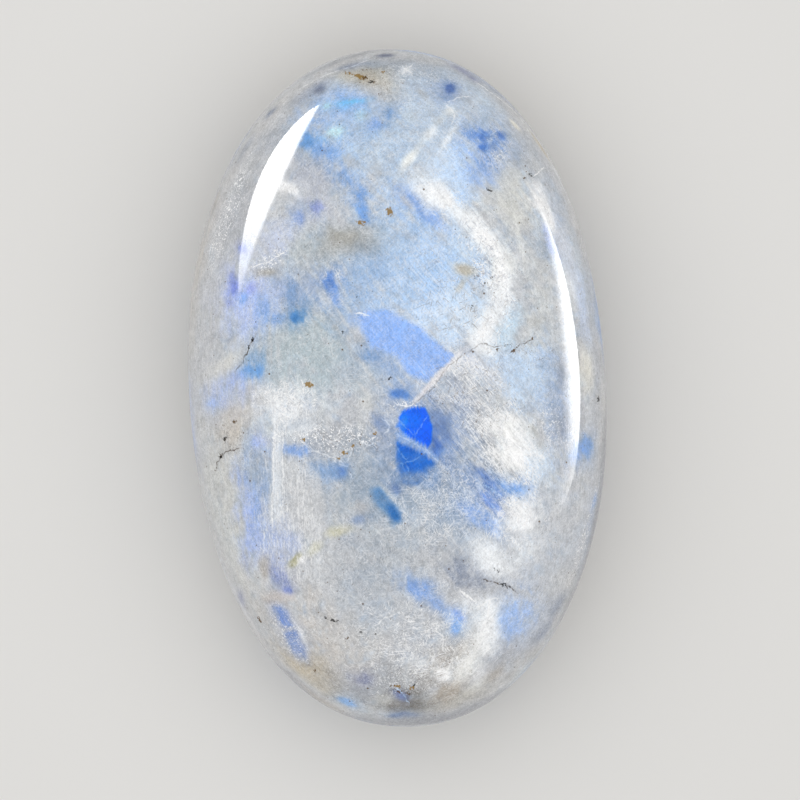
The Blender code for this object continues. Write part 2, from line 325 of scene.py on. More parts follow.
# Blue patches and smudges, in the same columns. The patches lie where the stone's blue layers are; their
# blue is the stone's sheen, painted as colour. The grey, slate and taupe smudges are its own colour
PATCHES = [
    ("blue arm", -5.6, 21.4, 4.5, 1.2, -58, BRIGHT_BLUE, 0.2, 0.9),
    ("arm's head", -7, 23, 1.7, 0.68, -25, BRIGHT_BLUE, 0.4, 0.8),
    ("arm's foot", -3.5, 17.5, 1.4, 0.49, -80, BRIGHT_BLUE, 0.6, 0.7),
    ("edge blue", -9, 24.2, 0.97, 0.78, 0, BLUE, 0.7, 0.6),
    ("violet spot", -7.7, 17.5, 0.68, 0.58, 0, VIOLET, 0.45, 0.5),
    ("second violet spot", -9.7, 16.9, 0.97, 0.58, 80, VIOLET_PALE, 0.5, 0.7),
    ("cyan dash", -4.5, 27.5, 1.4, 0.18, 6, CYAN, 1, 0.3),
    ("cyan chip", -6.7, 27.1, 0.39, 0.29, 0, CYAN_BRIGHT, 1, 0.4),
    ("cyan chip", -5.1, 27.1, 0.68, 0.29, 5, CYAN, 0.4, 0.6),
    ("opal blob", -10.6, 19.1, 1.1, 0.54, -25, SNOW, 0.9, 0.5),
    ("top blue dot", 4.9, 28.9, 0.44, 0.44, 0, NAVY, 0.95, 0.4),
    ("its halo", 4.2, 28.5, 1.4, 0.88, 0, STEEL, 0.45, 0.8),
    ("top smudge", -1.2, 33.3, 0.68, 0.34, 10, DARK_SLATE, 0.8, 0.7),
    ("top smudge", -4.5, 31.7, 1.4, 0.39, 12, SLATE, 0.6, 0.8),
    ("top smudge", -7.5, 28.8, 0.49, 0.39, 0, DARK_SLATE, 0.7, 0.7),
    ("rim smudge", -12.6, 27.4, 0.58, 0.34, 40, SLATE, 0.8, 0.8),
    ("rim smudge", -8.4, 28.8, 1.9, 0.49, 28, SLATE, 0.45, 0.9),
    ("rim smudge", -15.1, 23.8, 1.4, 0.39, 60, SLATE, 0.35, 0.9),
    ("rim smudge", -18.6, 18.5, 1.8, 0.34, 72, TAUPE, 0.4, 0.9),
    ("top right violet", 6.6, 32.3, 1.1, 0.58, -30, SLATE_VIOLET, 0.7, 0.8),
    ("top right violet", 7.7, 31.1, 0.58, 0.39, -30, SLATE_VIOLET, 0.6, 0.7),
    ("mesh blue", 9.1, 24.1, 1.6, 1.1, 0, MESH_BLUE, 0.85, 0.35),
    ("mesh blue left", 7.3, 24.5, 0.97, 0.68, 20, MESH_BLUE, 0.4, 0.8),
    ("mesh blue foot", 8.5, 21.6, 1.7, 1.4, 60, MID_BLUE, 0.6, 0.8),
    ("mesh core", 8.2, 23.2, 0.39, 0.29, 0, BRIGHT_BLUE, 0.9, 0.5),
    ("blue streak over the glow", 2.4, 17.3, 2.7, 0.78, -40, MID_BLUE, 0.85, 0.6),
    ("speckled blue", -6.2, 9.8, 0.97, 0.83, -65, MESH_BLUE, 1, 0.35),
    ("speckled tail", -5.9, 8.6, 0.68, 0.39, -80, MID_BLUE, 0.8, 0.6),
    ("bubble", -9.6, 6.8, 0.78, 0.73, 0, BUBBLE_BLUE, 0.9, 0.2),
    ("bubble's core", -9.9, 6.6, 0.39, 0.49, 0, TEAL, 0.8, 0.5),
    ("bubble's strip", -11.5, 6.6, 0.97, 0.39, 8, BLUE_HAZE, 0.6, 0.6),
    ("bubble's stem", -10.2, 8.9, 1.2, 0.49, 80, BLUE_HAZE, 0.5, 0.7),
    ("side blue", -13.2, 7.2, 1.4, 0.68, -78, BRIGHT_BLUE, 0.5, 0.7),
    ("violet mark", -15.9, 10.4, 0.88, 0.39, 85, VIOLET, 0.6, 0.6),
    ("violet mark", -15.5, 8.9, 0.58, 0.49, 0, VIOLET, 0.4, 0.5),
    ("violet mark", -16.1, 8.1, 0.49, 0.39, 0, VIOLET, 0.45, 0.5),
    ("blue oval", -14.4, 1.4, 1.2, 0.63, 10, BLUE, 1, 0.5),
    ("blue oval's top", -13.7, 2.7, 0.88, 0.68, 40, BLUE, 0.3, 0.8),
    ("blue oval's left", -15.7, 0.8, 1.3, 0.78, 0, LAVENDER, 0.7, 0.8),
    ("blue fleck", -17.7, -1.4, 0.58, 0.34, 0, PALE_BLUE, 0.7, 0.6),
    ("low lavender", -16.3, -0.8, 1.8, 0.97, 0, LAVENDER, 0.5, 0.9),
    ("lilac dot", -13.2, -5, 0.78, 0.68, 0, LAVENDER, 0.8, 0.6),
    ("fan's loop", -3.9, 6.6, 0.68, 0.78, 0, MID_BLUE, 0.45, 0.6),
    ("chip on the crack", 0.2, -0.8, 0.78, 0.47, -10, CHIP_BLUE, 1, 0.45),
    ("steel halo", 5.4, -3.5, 3.1, 1.2, -70, STEEL, 0.25, 0.8),
    ("blue beside the heart", 3.7, -6, 0.58, 0.58, 25, STRONG_BLUE, 0.85, 0.7),
    ("streaky grey-blue", 6.3, -1, 1.9, 0.88, -50, STEEL, 0.3, 0.7),
    ("blue fringe", 1, -9.2, 1.8, 0.58, -10, SLATE_MIST, 0.5, 0.7),
    ("grey-blue chip", -3.7, -12.8, 0.68, 0.39, 0, STEEL, 0.7, 0.6),
    ("low blue dot", -5.9, -7.9, 0.88, 0.44, -25, BLUE_HAZE, 0.9, 0.5),
    ("low blue dot's core", -5.7, -7.9, 0.54, 0.37, -25, STRONG_BLUE, 1, 0.25),
    ("low dot's halo", -6.8, -7.9, 1.2, 0.78, 0, HAZE_BLUE, 0.95, 0.7),
    ("lilac band", -9.9, -5.9, 1.3, 0.58, -8, MID_BLUE, 0.8, 0.6),
    ("violet foot", -11.3, -18.4, 1.2, 0.68, -60, VIOLET_GREY, 0.5, 0.7),
    ("violet foot dot", -10.6, -19.5, 0.49, 0.39, 0, VIOLET_GREY, 0.8, 0.5),
    ("slant blue", 8.8, -9, 1.9, 0.54, -50, BLUE_SLATE, 0.85, 0.6),
    ("slant blue", 11.3, -9.9, 1.5, 0.58, -28, BRIGHT_BLUE, 0.75, 0.7),
    ("slant blue", 9.1, -11.2, 1.6, 0.49, -48, DUSK_BLUE, 1, 0.5),
    ("slant wash", 8.2, -12.6, 1.9, 0.78, -45, MID_BLUE, 1, 0.7),
    ("ice by the blob", 13.3, -8, 1.8, 1.3, 60, SKY, 0.6, 0.8),
    ("pale oval", 11.1, -22.1, 1.8, 1.5, 70, PALE_BLUE, 0.95, 0.5),
    ("long slant", 3.4, -20.5, 2.7, 0.68, -42, MID_BLUE, 0.6, 0.8),
    ("long slant's head", 1.8, -19.1, 1.3, 0.88, -30, MID_BLUE, 0.75, 0.7),
    ("long slant's tip", 5.6, -22.8, 0.88, 0.49, 60, BRIGHT_BLUE, 0.9, 0.6),
    ("long slant's tip", 5.9, -21.8, 0.68, 0.34, -38, BLUE_BRIGHT, 0.7, 0.4),
    ("left slant", -11, -22, 1.2, 0.44, -60, DUSK_BLUE, 0.7, 0.7),
    ("left slant", -9.8, -24.6, 1.7, 0.54, -62, DUSK_BLUE, 0.65, 0.7),
    ("rim blue", 18.4, -5.7, 0.97, 0.68, 80, BRIGHT_BLUE, 0.55, 0.6),
    ("rim blue", 19.6, -11.2, 0.68, 0.39, 80, MID_BLUE, 0.6, 0.7),
    ("opal foot", -5.2, -30.8, 0.88, 0.58, -30, OPAL_BLUE, 0.9, 0.5),
    ("foot blue", 0.6, -32.4, 1.6, 0.58, 0, SLATE_DEEP, 0.9, 0.5),
    ("foot chip", 0.3, -29.8, 0.68, 0.39, -30, SLATE_BLUE, 0.8, 0.5),
    ("foot smudge", -3.2, -28.1, 0.78, 0.68, 0, SLATE_VIOLET, 0.7, 0.8),
    ("left rim smudge", -15.7, -21.1, 0.88, 0.49, 80, SLATE_VIOLET, 0.6, 0.7),
    ("right rim smudge", 15.6, -21.3, 1.4, 0.68, 55, SLATE, 0.5, 0.8),
    ("right rim smudge", 14.2, -24.1, 1.2, 0.68, 50, SLATE, 0.5, 0.8),
    ("right smudge", 15.8, 1.4, 0.88, 0.58, 80, SLATE, 0.55, 0.8),
    ("right smudge", 16, -3.3, 1.3, 0.58, 85, SLATE, 0.5, 0.8),
    ("dark cloud", 6.7, -17.5, 1.8, 0.97, -25, SLATE, 0.7, 0.7),
    ("grey dip", 6.7, -8.8, 1.8, 0.97, -30, STEEL, 0.6, 0.8),
    ("arm's elbow", -5.3, 20.2, 1.2, 0.58, -40, BRIGHT_BLUE, 0.3, 0.8),
    ("slate by the heart", 4.1, -3.5, 1.7, 0.78, -55, SLATE_DEEP, 0.75, 0.7),
    ("slate by the heart", 3.9, -2.5, 1.1, 0.58, -50, SLATE_DEEP, 0.4, 0.7),
    ("navy below the heart", -0.1, -9.7, 0.58, 0.34, -60, COBALT_HAZE, 0.45, 0.6),
    ("slate left of the heart", -1.8, -3.1, 0.97, 0.49, -60, SLATE_DEEP, 0.6, 0.7),
    ("white-cyan fleck", -6.2, 24.7, 0.78, 0.39, 10, CYAN_BRIGHT, 1, 0.5),
    ("mesh by the dash", -2.1, 25.4, 0.58, 0.49, 0, MID_BLUE, 0.5, 0.7),
    ("dark blue fleck", -0.8, 26.2, 0.29, 0.58, 0, BLUE_HAZE, 0.7, 0.6),
    ("brown under the spark line", -12.6, 11.2, 0.97, 0.34, 0, OLIVE_GREY, 0.9, 0.6),
    ("cyan haze by the ochre", -3.6, 26.3, 0.58, 0.49, 0, CYAN_WHITE, 0.5, 0.7),
    ("blue fleck by the window", -9.2, 16.4, 0.49, 0.68, 20, DUSK_BLUE, 0.5, 0.6),
    ("blue dot left", -15, 13.4, 0.39, 0.49, 0, VIOLET, 0.7, 0.6),
    ("mottled side of the fan", -1.3, 2.3, 2.5, 1.1, -40, STEEL_HAZE, 0.85, 0.8),
    ("shade under the fan", -3.8, 1.4, 1.8, 0.97, -10, HAZE_GREY, 0.6, 0.9),
    ("shade in the snow", -9.8, -3.2, 1.6, 0.78, 0, HAZE_GREY, 0.5, 0.8),
    ("shade under the heart", 2.6, -11.3, 1.6, 0.97, -30, TANGLE_GREY, 0.6, 0.8),
    ("blue fleck by the fan", -2.6, 3, 0.68, 0.39, -20, BLUE_HAZE, 0.7, 0.7),
    ("blue behind the dash", -4.9, 27.3, 1.9, 0.78, 10, SKY_BLUE, 0.4, 0.7),
    ("lavender under the highlight", -15, 8.3, 1.3, 2.3, 0, LAVENDER, 0.7, 0.8),
    ("side flash", 21.3, 7.3, 3.5, 0.97, -83, MID_BLUE, 0.7, 0.8),
    ("side veil", 17.3, 21.9, 4.9, 1.2, -64, MILK_WHITE, 0.7, 0.9),
    ("side shade", 9.9, 31.4, 3.3, 0.88, -40, STEEL, 0.45, 0.9),
    ("side flash", 2.3, 35.4, 2.9, 0.88, -10, PALE_BLUE, 0.7, 0.8),
    ("side veil", -8.3, 33.4, 4.9, 1.2, 33, MILK_WHITE, 0.7, 0.9),
    ("side flash", -17.2, 26.1, 3.3, 0.88, 60, MID_BLUE, 0.65, 0.8),
    ("side tan", -20.7, 12.2, 3.9, 1.2, 77, BEIGE, 0.6, 0.9),
    ("side lavender", -21.7, -3.7, 3.9, 1.1, -86, LAVENDER, 0.75, 0.8),
    ("side veil", -18.3, -20, 5.5, 1.2, -67, MILK_WHITE, 0.7, 0.9),
    ("side flash", -11.5, -30, 2.7, 0.78, -45, PERIWINKLE, 0.7, 0.7),
    ("side shade", -3.1, -35.3, 3.5, 0.97, -13, STEEL, 0.45, 0.9),
    ("side veil", 6.4, -34.1, 4.3, 1.2, 26, MILK_WHITE, 0.7, 0.9),
    ("side flash", 15.1, -29.3, 3.3, 0.88, 54, SKY_BLUE, 0.65, 0.8),
    ("side haze", 20.4, -13.3, 4.3, 1.2, 76, PALE_BLUE, 0.6, 0.9),
    ("violet fleck by the highlight", -15.7, 9.7, 0.68, 0.34, 80, VIOLET, 0.75, 0.6),
    ("violet fleck by the highlight", -14.8, 8.5, 0.58, 0.29, 70, PERIWINKLE, 0.9, 0.5),
    ("violet fleck by the highlight", -14, 9.6, 0.58, 0.39, 60, DEEP_LAVENDER, 0.7, 0.7),
    ("slant blue", 12.3, -9, 0.97, 0.39, -50, MID_BLUE, 0.5, 0.8),
    ("blue near the rim", 17.3, -6.2, 1.2, 0.58, 60, MID_BLUE, 0.45, 0.8),
    ("mesh below the wedge", 1.4, -10.7, 0.97, 0.58, -30, STONE_BLUE, 0.6, 0.8),
    ("heart's right wing", 3.7, -4.9, 0.39, 1.2, 12, COBALT_HAZE, 0.8, 0.6),
]
# White, cream and tan areas, in the same columns. Some rows are painted light or shade, as marked: painted
# highlights and glow, painted light along the rim and painted shade along it
GLOWS = [
    ("white cloud", 3.8, 18.3, 1.5, 1.3, -20, WHITE, 0.85, 0.6),
    ("felt top", 7.4, 16, 1.6, 0.88, -35, WHITE, 0.8, 0.6),
    ("felt", 8.4, 14.6, 2.1, 0.97, -52, WHITE, 1, 0.8),
    ("felt", 9.9, 11.7, 1.9, 1.2, -75, CREAM_WHITE, 1, 0.8),
    ("felt", 9.5, 8.8, 2.1, 1.2, 84, WHITE, 0.95, 0.9),
    ("felt foot", 8.2, 5.6, 1.9, 1.2, 78, WHITE, 0.95, 0.9),
    ("felt heel", 8.9, 4.1, 1.2, 0.78, 0, WHITE, 0.5, 0.8),
    ("left fringe of the felt", 6.3, 7.6, 2.1, 2.1, 0, ICE_WHITE, 0.5, 0.9),
    ("cream streak", 2.4, 23.6, 4.9, 0.34, 54, CREAM_WHITE, 0.35, 0.8),
    ("cream streak's bulb", 1.1, 22, 0.97, 0.39, 50, CREAM_WHITE, 0.75, 0.8),
    ("cream streak's knot", 3.2, 24.4, 0.68, 0.39, 50, WHITE, 0.55, 0.9),
    ("second streak", 4.8, 23.8, 1.8, 0.29, 60, WHITE, 0.6, 0.6),
    ("snow", -10.5, -1.4, 2.7, 1.5, 8, SNOW, 0.6, 0.8),
    ("beige blotch", 6.4, 11.3, 0.97, 0.58, -15, TAN, 0.75, 0.6),
    ("beige blotch's tail", 6.1, 9.9, 0.78, 0.29, 55, TAN, 0.5, 0.7),
    ("cream blob", 11.2, -6, 3.5, 1.5, -56, CREAM_WHITE, 0.9, 0.8),
    ("cream blob's heart", 11.3, -6.4, 1.9, 0.88, -56, SNOW, 1, 0.7),
    ("low felt", 11.5, -12.8, 1.9, 1.6, 20, WHITE, 0.75, 0.7),
    ("low felt", 9, -16.5, 2.1, 0.78, -30, WHITE, 0.5, 0.8),
    ("low bright", 8.4, -21.2, 1.6, 1.4, 30, WHITE, 0.75, 0.6),
    ("low bright", 9, -23.6, 1.2, 1.6, 0, WHITE, 0.8, 0.6),
    ("foot bright", 4.4, -27.5, 0.78, 0.68, 0, SNOW, 1, 0.6),
    ("foot cloud", 8, -26.5, 0.97, 2.1, -10, WHITE, 0.5, 0.8),
    ("cream right", 18.2, 1.5, 2.3, 0.68, 88, CREAM, 0.7, 0.7),
    # Painted glow beside the right panel's reflection
    ("right glow", 16, 13.4, 4.7, 0.88, -73, LILAC_WHITE, 0.7, 0.8),
    ("pale wall", 4.1, 1.2, 3.7, 0.25, 46, ROSE_WHITE, 0.9, 0.5),
    ("crack's light", 8.3, 3.5, 1.2, 0.49, -10, WHITE, 0.6, 0.7),
    ("pale sheet", 7.8, 1.7, 1.6, 0.88, -50, LILAC_WHITE, 0.5, 0.7),
    ("cream by the crack", 12.9, 0.6, 1.2, 1.9, -30, ICE, 0.4, 0.9),
    ("yellow haze", -5.5, -13.7, 1.3, 0.49, 8, STRAW, 0.7, 0.7),
    ("yellow haze", -8.1, -15.4, 0.88, 0.49, 35, STRAW, 0.6, 0.7),
    ("olive stain", -9.9, -16.5, 0.88, 0.39, 50, OLIVE, 0.8, 0.5),
    ("ochre rim", 14.7, 24.6, 1.5, 0.39, -55, TAN, 0.6, 0.6),
    ("cream dash", 11.6, 25.8, 0.78, 0.29, -45, CREAM, 0.8, 0.5),
    ("top knot", 5.1, 26.7, 0.49, 0.39, -30, CREAM_WHITE, 0.5, 0.8),
    ("orange haze", -3.5, -11.7, 0.68, 0.58, 0, PEACH, 0.35, 0.8),
    ("tan low left", -12.7, -17.2, 0.58, 1.2, 0, TAN, 0.5, 0.7),
    ("tan low left", -11.1, -20.3, 1.6, 0.58, 0, PEACH, 0.5, 0.8),
    ("white chip low left", -9.2, -16.4, 0.49, 0.29, 40, SNOW, 0.8, 0.6),
    ("pale column", -11.6, -8.4, 4.9, 0.24, 91, WHITE, 0.3, 0.8),
    ("pale column", -7.7, -16.7, 2.5, 0.29, 92, WHITE, 0.2, 0.6),
    # Painted highlight near the top; its rays are among the strokes
    ("star", 0.9, 30.8, 0.58, 0.49, 0, SNOW, 0.6, 0.9),
    ("pale sill", -0.7, -10.3, 1.4, 0.19, -50, WARM_PEARL, 0.5, 0.6),
    ("white below the felt", 11.9, -15.6, 1.6, 1.2, 0, WHITE, 0.6, 0.8),
    ("light above the cloud", 4.1, 21, 1.4, 1.4, 0, LIGHT_SKY, 0.7, 0.9),
    ("felt bridge", 5.6, 17.1, 1.9, 0.68, -35, WHITE, 0.8, 0.7),
    ("felt bridge", 9.6, 12.8, 1.6, 0.78, -70, WHITE, 0.8, 0.7),
    ("felt bridge", 10, 10.1, 1.4, 0.88, 90, WHITE, 0.8, 0.7),
    # Painted highlight at the top of the right panel's reflection, and painted lilac glow beside it
    ("right highlight's painted top", 13.9, 17.7, 1.9, 0.88, -72, SNOW, 1, 0.7),
    ("right highlight's painted head", 14.5, 16.2, 1.3, 0.49, -70, SNOW, 0.9, 0.7),
    ("painted lilac glow right of the highlight", 18, 7.8, 3.3, 0.58, -82, LILAC_SKY, 0.7, 0.8),
    ("white streak by the band", 11.8, 13.9, 2.5, 0.29, -78, CREAM_WHITE, 0.5, 0.8),
    ("foot cloud", 6.3, -27.3, 1.5, 0.88, 50, CREAM_WHITE, 0.6, 0.8),
    ("foot cloud", 7.5, -29, 1.4, 0.58, 40, CREAM_WHITE, 0.4, 0.8),
    ("foot cloud", 2.2, -26.5, 1.2, 0.78, 0, WHITE, 0.35, 0.9),
    # Painted light along the rim
    ("rim light low right", 17.6, -23.2, 5.8, 0.49, 60, PEARL_WHITE, 0.5, 0.9),
    ("rim light low left", -13.9, -25.8, 5.8, 0.49, -58, PEARL_WHITE, 0.5, 0.9),
    ("heart's veiled foot", 1.6, -8.9, 1.9, 0.68, -10, SLATE_MIST, 0.9, 0.8),
    ("heart's veiled side", 0.1, -7.2, 0.49, 1.4, 8, SLATE_MIST, 0.35, 0.7),
    # Painted lilac and white glow along the right panel's reflection
    ("painted lilac glow in the right highlight", 14.8, 13.8, 1.9, 0.39, -66, LILAC_BLUE, 0.7, 0.7),
    ("glow by the band", 16.4, 9.7, 2.1, 0.49, -76, WHITE, 0.6, 0.8),
    ("light right of the blob", 12.8, -6.2, 2.1, 0.88, -60, ICE_WHITE, 0.5, 0.9),
    ("light at the foot's right", 8.8, -16.4, 1.9, 1.2, -30, WHITE, 0.5, 0.9),
    ("light below the crack", 6.3, -22.4, 1.4, 1.2, 0, ICE_WHITE, 0.5, 0.9),
    ("cream left of the left crack", -16.7, 2.1, 1.9, 0.78, 30, CREAM, 0.45, 0.8),
    ("azure of the heart", 1.6, -3.1, 0.78, 0.88, 0, AZURE, 1, 0.6),
    ("heart's upper left", 0.5, -3.7, 0.39, 0.88, -15, MID_BLUE, 0.45, 0.8),
    ("heart's veiled right", 3.3, -8.2, 0.68, 0.78, 20, SLATE_MIST, 0.8, 0.8),
    ("inner light", 6.3, 14.1, 2.1, 1.2, -50, ICE_WHITE, 0.4, 0.9),
    ("sky by the felt's foot", 10.9, 6, 1.9, 0.97, 70, ICE_SKY, 0.75, 0.9),
    ("white by the column", -9.5, -4.1, 1.4, 0.68, 20, WHITE, 0.55, 0.8),
    ("foot's white ridge", 7.3, -24.9, 1.2, 1.8, -30, CREAM_WHITE, 0.5, 0.8),
    ("haze over the fan's side", -0.3, 1.6, 1.8, 0.44, -42, STEEL_HAZE, 0.4, 0.9),
    ("white cloud's left", 2.4, 19.7, 1.3, 0.88, -30, WHITE, 0.55, 0.8),
    ("white by the crack", 6.5, 2.6, 1.2, 0.68, 40, LILAC_WHITE, 0.6, 0.8),
    ("white right of the foot", 8.7, -15.6, 1.6, 0.88, -40, WHITE, 0.6, 0.8),
    ("white left of the foot", -1.3, -30.1, 0.97, 0.49, 0, WARM_PEARL, 0.6, 0.8),
    # Painted shade along the rim at the foot, the right and the lower left
    ("foot rim shade", 3.7, -33.1, 8.8, 1.2, 9, RIM_SHADE, 0.9, 0.8),
    ("right rim shade", 19.7, -16.7, 12.7, 1.3, 73, RIM_SHADE, 0.8, 0.8),
    ("left foot rim shade", -10.5, -30.8, 5.8, 1.2, -42, RIM_TAN_SHADE, 0.7, 0.9),
    ("wedge's core", -0.3, -11.9, 0.97, 0.39, -52, TEAL_DEEP, 0.8, 0.7),
    ("light across the left slant", -10.4, -23.3, 0.88, 0.19, 15, PEARL, 0.7, 0.8),
    ("light along the left slant", -9.2, -23.9, 1.3, 0.19, -64, WHITE, 0.4, 0.8),
    ("cream blob's light", 11.6, -5.1, 2.3, 1.2, -56, SNOW, 0.6, 0.9),
    ("ice right of the blob", 13, -8, 1.4, 0.78, -60, ICE, 0.6, 0.8),
    ("light by the pale wall", 5.3, 2.1, 1.2, 0.29, 46, SNOW, 0.5, 0.8),
    ("arc's light", 8.9, 13.8, 1.8, 0.58, -55, SNOW, 0.7, 0.8),
    ("arc's light", 10, 10.9, 1.8, 0.58, -84, SNOW, 0.7, 0.8),
    ("arc's light", 8.6, 6.4, 1.6, 0.68, 75, SNOW, 0.6, 0.8),
    ("ridge's light", 8.8, -23.1, 1.8, 0.58, 85, SNOW, 0.6, 0.8),
    ("low felt's light", 11.7, -12.4, 1.4, 0.88, 20, SNOW, 0.5, 0.8),
    ("cloud's light", 4.1, 18.6, 1.4, 0.78, -25, SNOW, 0.6, 0.8),
    ("mist right of the heart", 4.2, -6.2, 0.58, 0.39, -30, BAND_BLUE, 0.6, 0.8),
    ("mist across the lower heart", 1.9, -6.7, 0.68, 0.39, -35, CHIP_BLUE, 0.4, 0.9),
    # Painted shade along the edge, closer in
    ("foot edge shade", 4.1, -34, 9.7, 0.68, 9, RIM_SHADE, 0.9, 0.8),
    ("right edge shade", 20.6, -10.9, 10.7, 0.78, 82, RIM_SHADE, 0.9, 0.8),
    ("left edge shade", -16, -25.7, 6.8, 0.78, -62, RIM_TAN_SHADE, 0.7, 0.8),
    ("top edge shade", -5.4, 33.5, 5.8, 0.68, 23, RIM_SHADE, 0.8, 0.8),
    ("mesh blue's core", 8.5, 24.3, 0.49, 0.39, 30, COBALT_HAZE, 0.5, 0.8),
    ("mesh blue's core", 8.2, 23.2, 0.49, 0.39, 0, COBALT_HAZE, 0.5, 0.8),
    ("mesh blue's core", 10.1, 24.5, 0.39, 0.39, 0, COBALT_HAZE, 0.4, 0.8),
]
# Patches with corners: name, corners, colour, strength, softness in millimetres. Their blue is the stone's
# sheen, painted as colour
SHAPES = [
    ("fan",
     [(-3.6, 6.7), (-2.9, 7.5), (-1.2, 7.6), (0.2, 6.9), (2.2, 5.9), (3.7, 4.6), (5.5, 2.8), (4.2, 1.8),
      (3, 0.4), (2.2, 0.6), (1.3, 1.2), (0.6, 2.1), (-0.1, 3), (-1.3, 3.4), (-2.6, 3.8), (-3.1, 5.1)],
     PERIWINKLE, 0.97, 0.3),
    ("heart, upper half",
     [(0.1, -3), (0.5, -2.3), (1.5, -1.9), (2.6, -1.9), (3, -2.6),
      (3.3, -3.8), (3.2, -5.2), (2.9, -5.7), (1.9, -5.1), (0.7, -4.3), (0, -3.8)],
     ROYAL, 1, 0.12),
    ("heart, lower half",
     [(0, -5.1), (1, -5.5), (2.3, -6.2), (3.5, -7.3),
      (3.1, -8.5), (1.9, -9.2), (0.6, -9), (0, -8), (-0.2, -6.4)],
     COBALT, 0.92, 0.26),
    ("teal wedge",
     [(-2.6, -9.7), (-1.7, -9.5), (-0.6, -10.3), (0.5, -11.8),
      (0.5, -12.8), (-0.4, -13.1), (-1.4, -12.2), (-2.1, -11)],
     TEAL, 0.6, 0.4),
    ("pale column's face", [(-12, -3.9), (-11, -4.1), (-11, -12.3), (-12.2, -13.2)], DULL_WHITE, 0.7, 0.1),
    ("pale band across the heart",
     [(-0.3, -4.1), (0.1, -4.1), (1.4, -5), (2.8, -5.6),
      (3.9, -6.7), (3.8, -7.1), (3, -6.5), (1.4, -5.5), (0.2, -5)],
     BAND_BLUE, 0.85, 0.14),
]
# Brown cracks: name, points, strength
CRACKS = [
    ("main crack", [(1.9, -1.3), (3.4, 0), (4.9, 2.1), (6.2, 3), (7.5, 3.9), (8.1, 4.3)], 0.4),
    ("crack's arm", [(8.1, 4.3), (9.2, 3.9), (10.7, 4.1)], 0.7),
    ("crack's arm", [(11, 3.5), (11.5, 4), (12.9, 4.7)], 0.7),
    ("left crack", [(-13.7, 4.9), (-14.1, 4.1), (-14.6, 3.1)], 0.9),
    ("left crack's foot", [(-14.6, 3.1), (-15, 2.2), (-15.5, 1.7)], 0.5),
    ("low left crack", [(-16.4, -4.1), (-16.6, -5)], 0.9),
    ("low left crack", [(-17, -6.4), (-17.4, -7.2), (-17.6, -8)], 0.9),
    ("low left branch", [(-17.1, -6.5), (-16.4, -6.1), (-15.4, -5.9)], 0.8),
    ("right foot crack", [(8.4, -18.4), (9.2, -18.6), (10.3, -18.9), (11.4, -19.6)], 0.9),
]
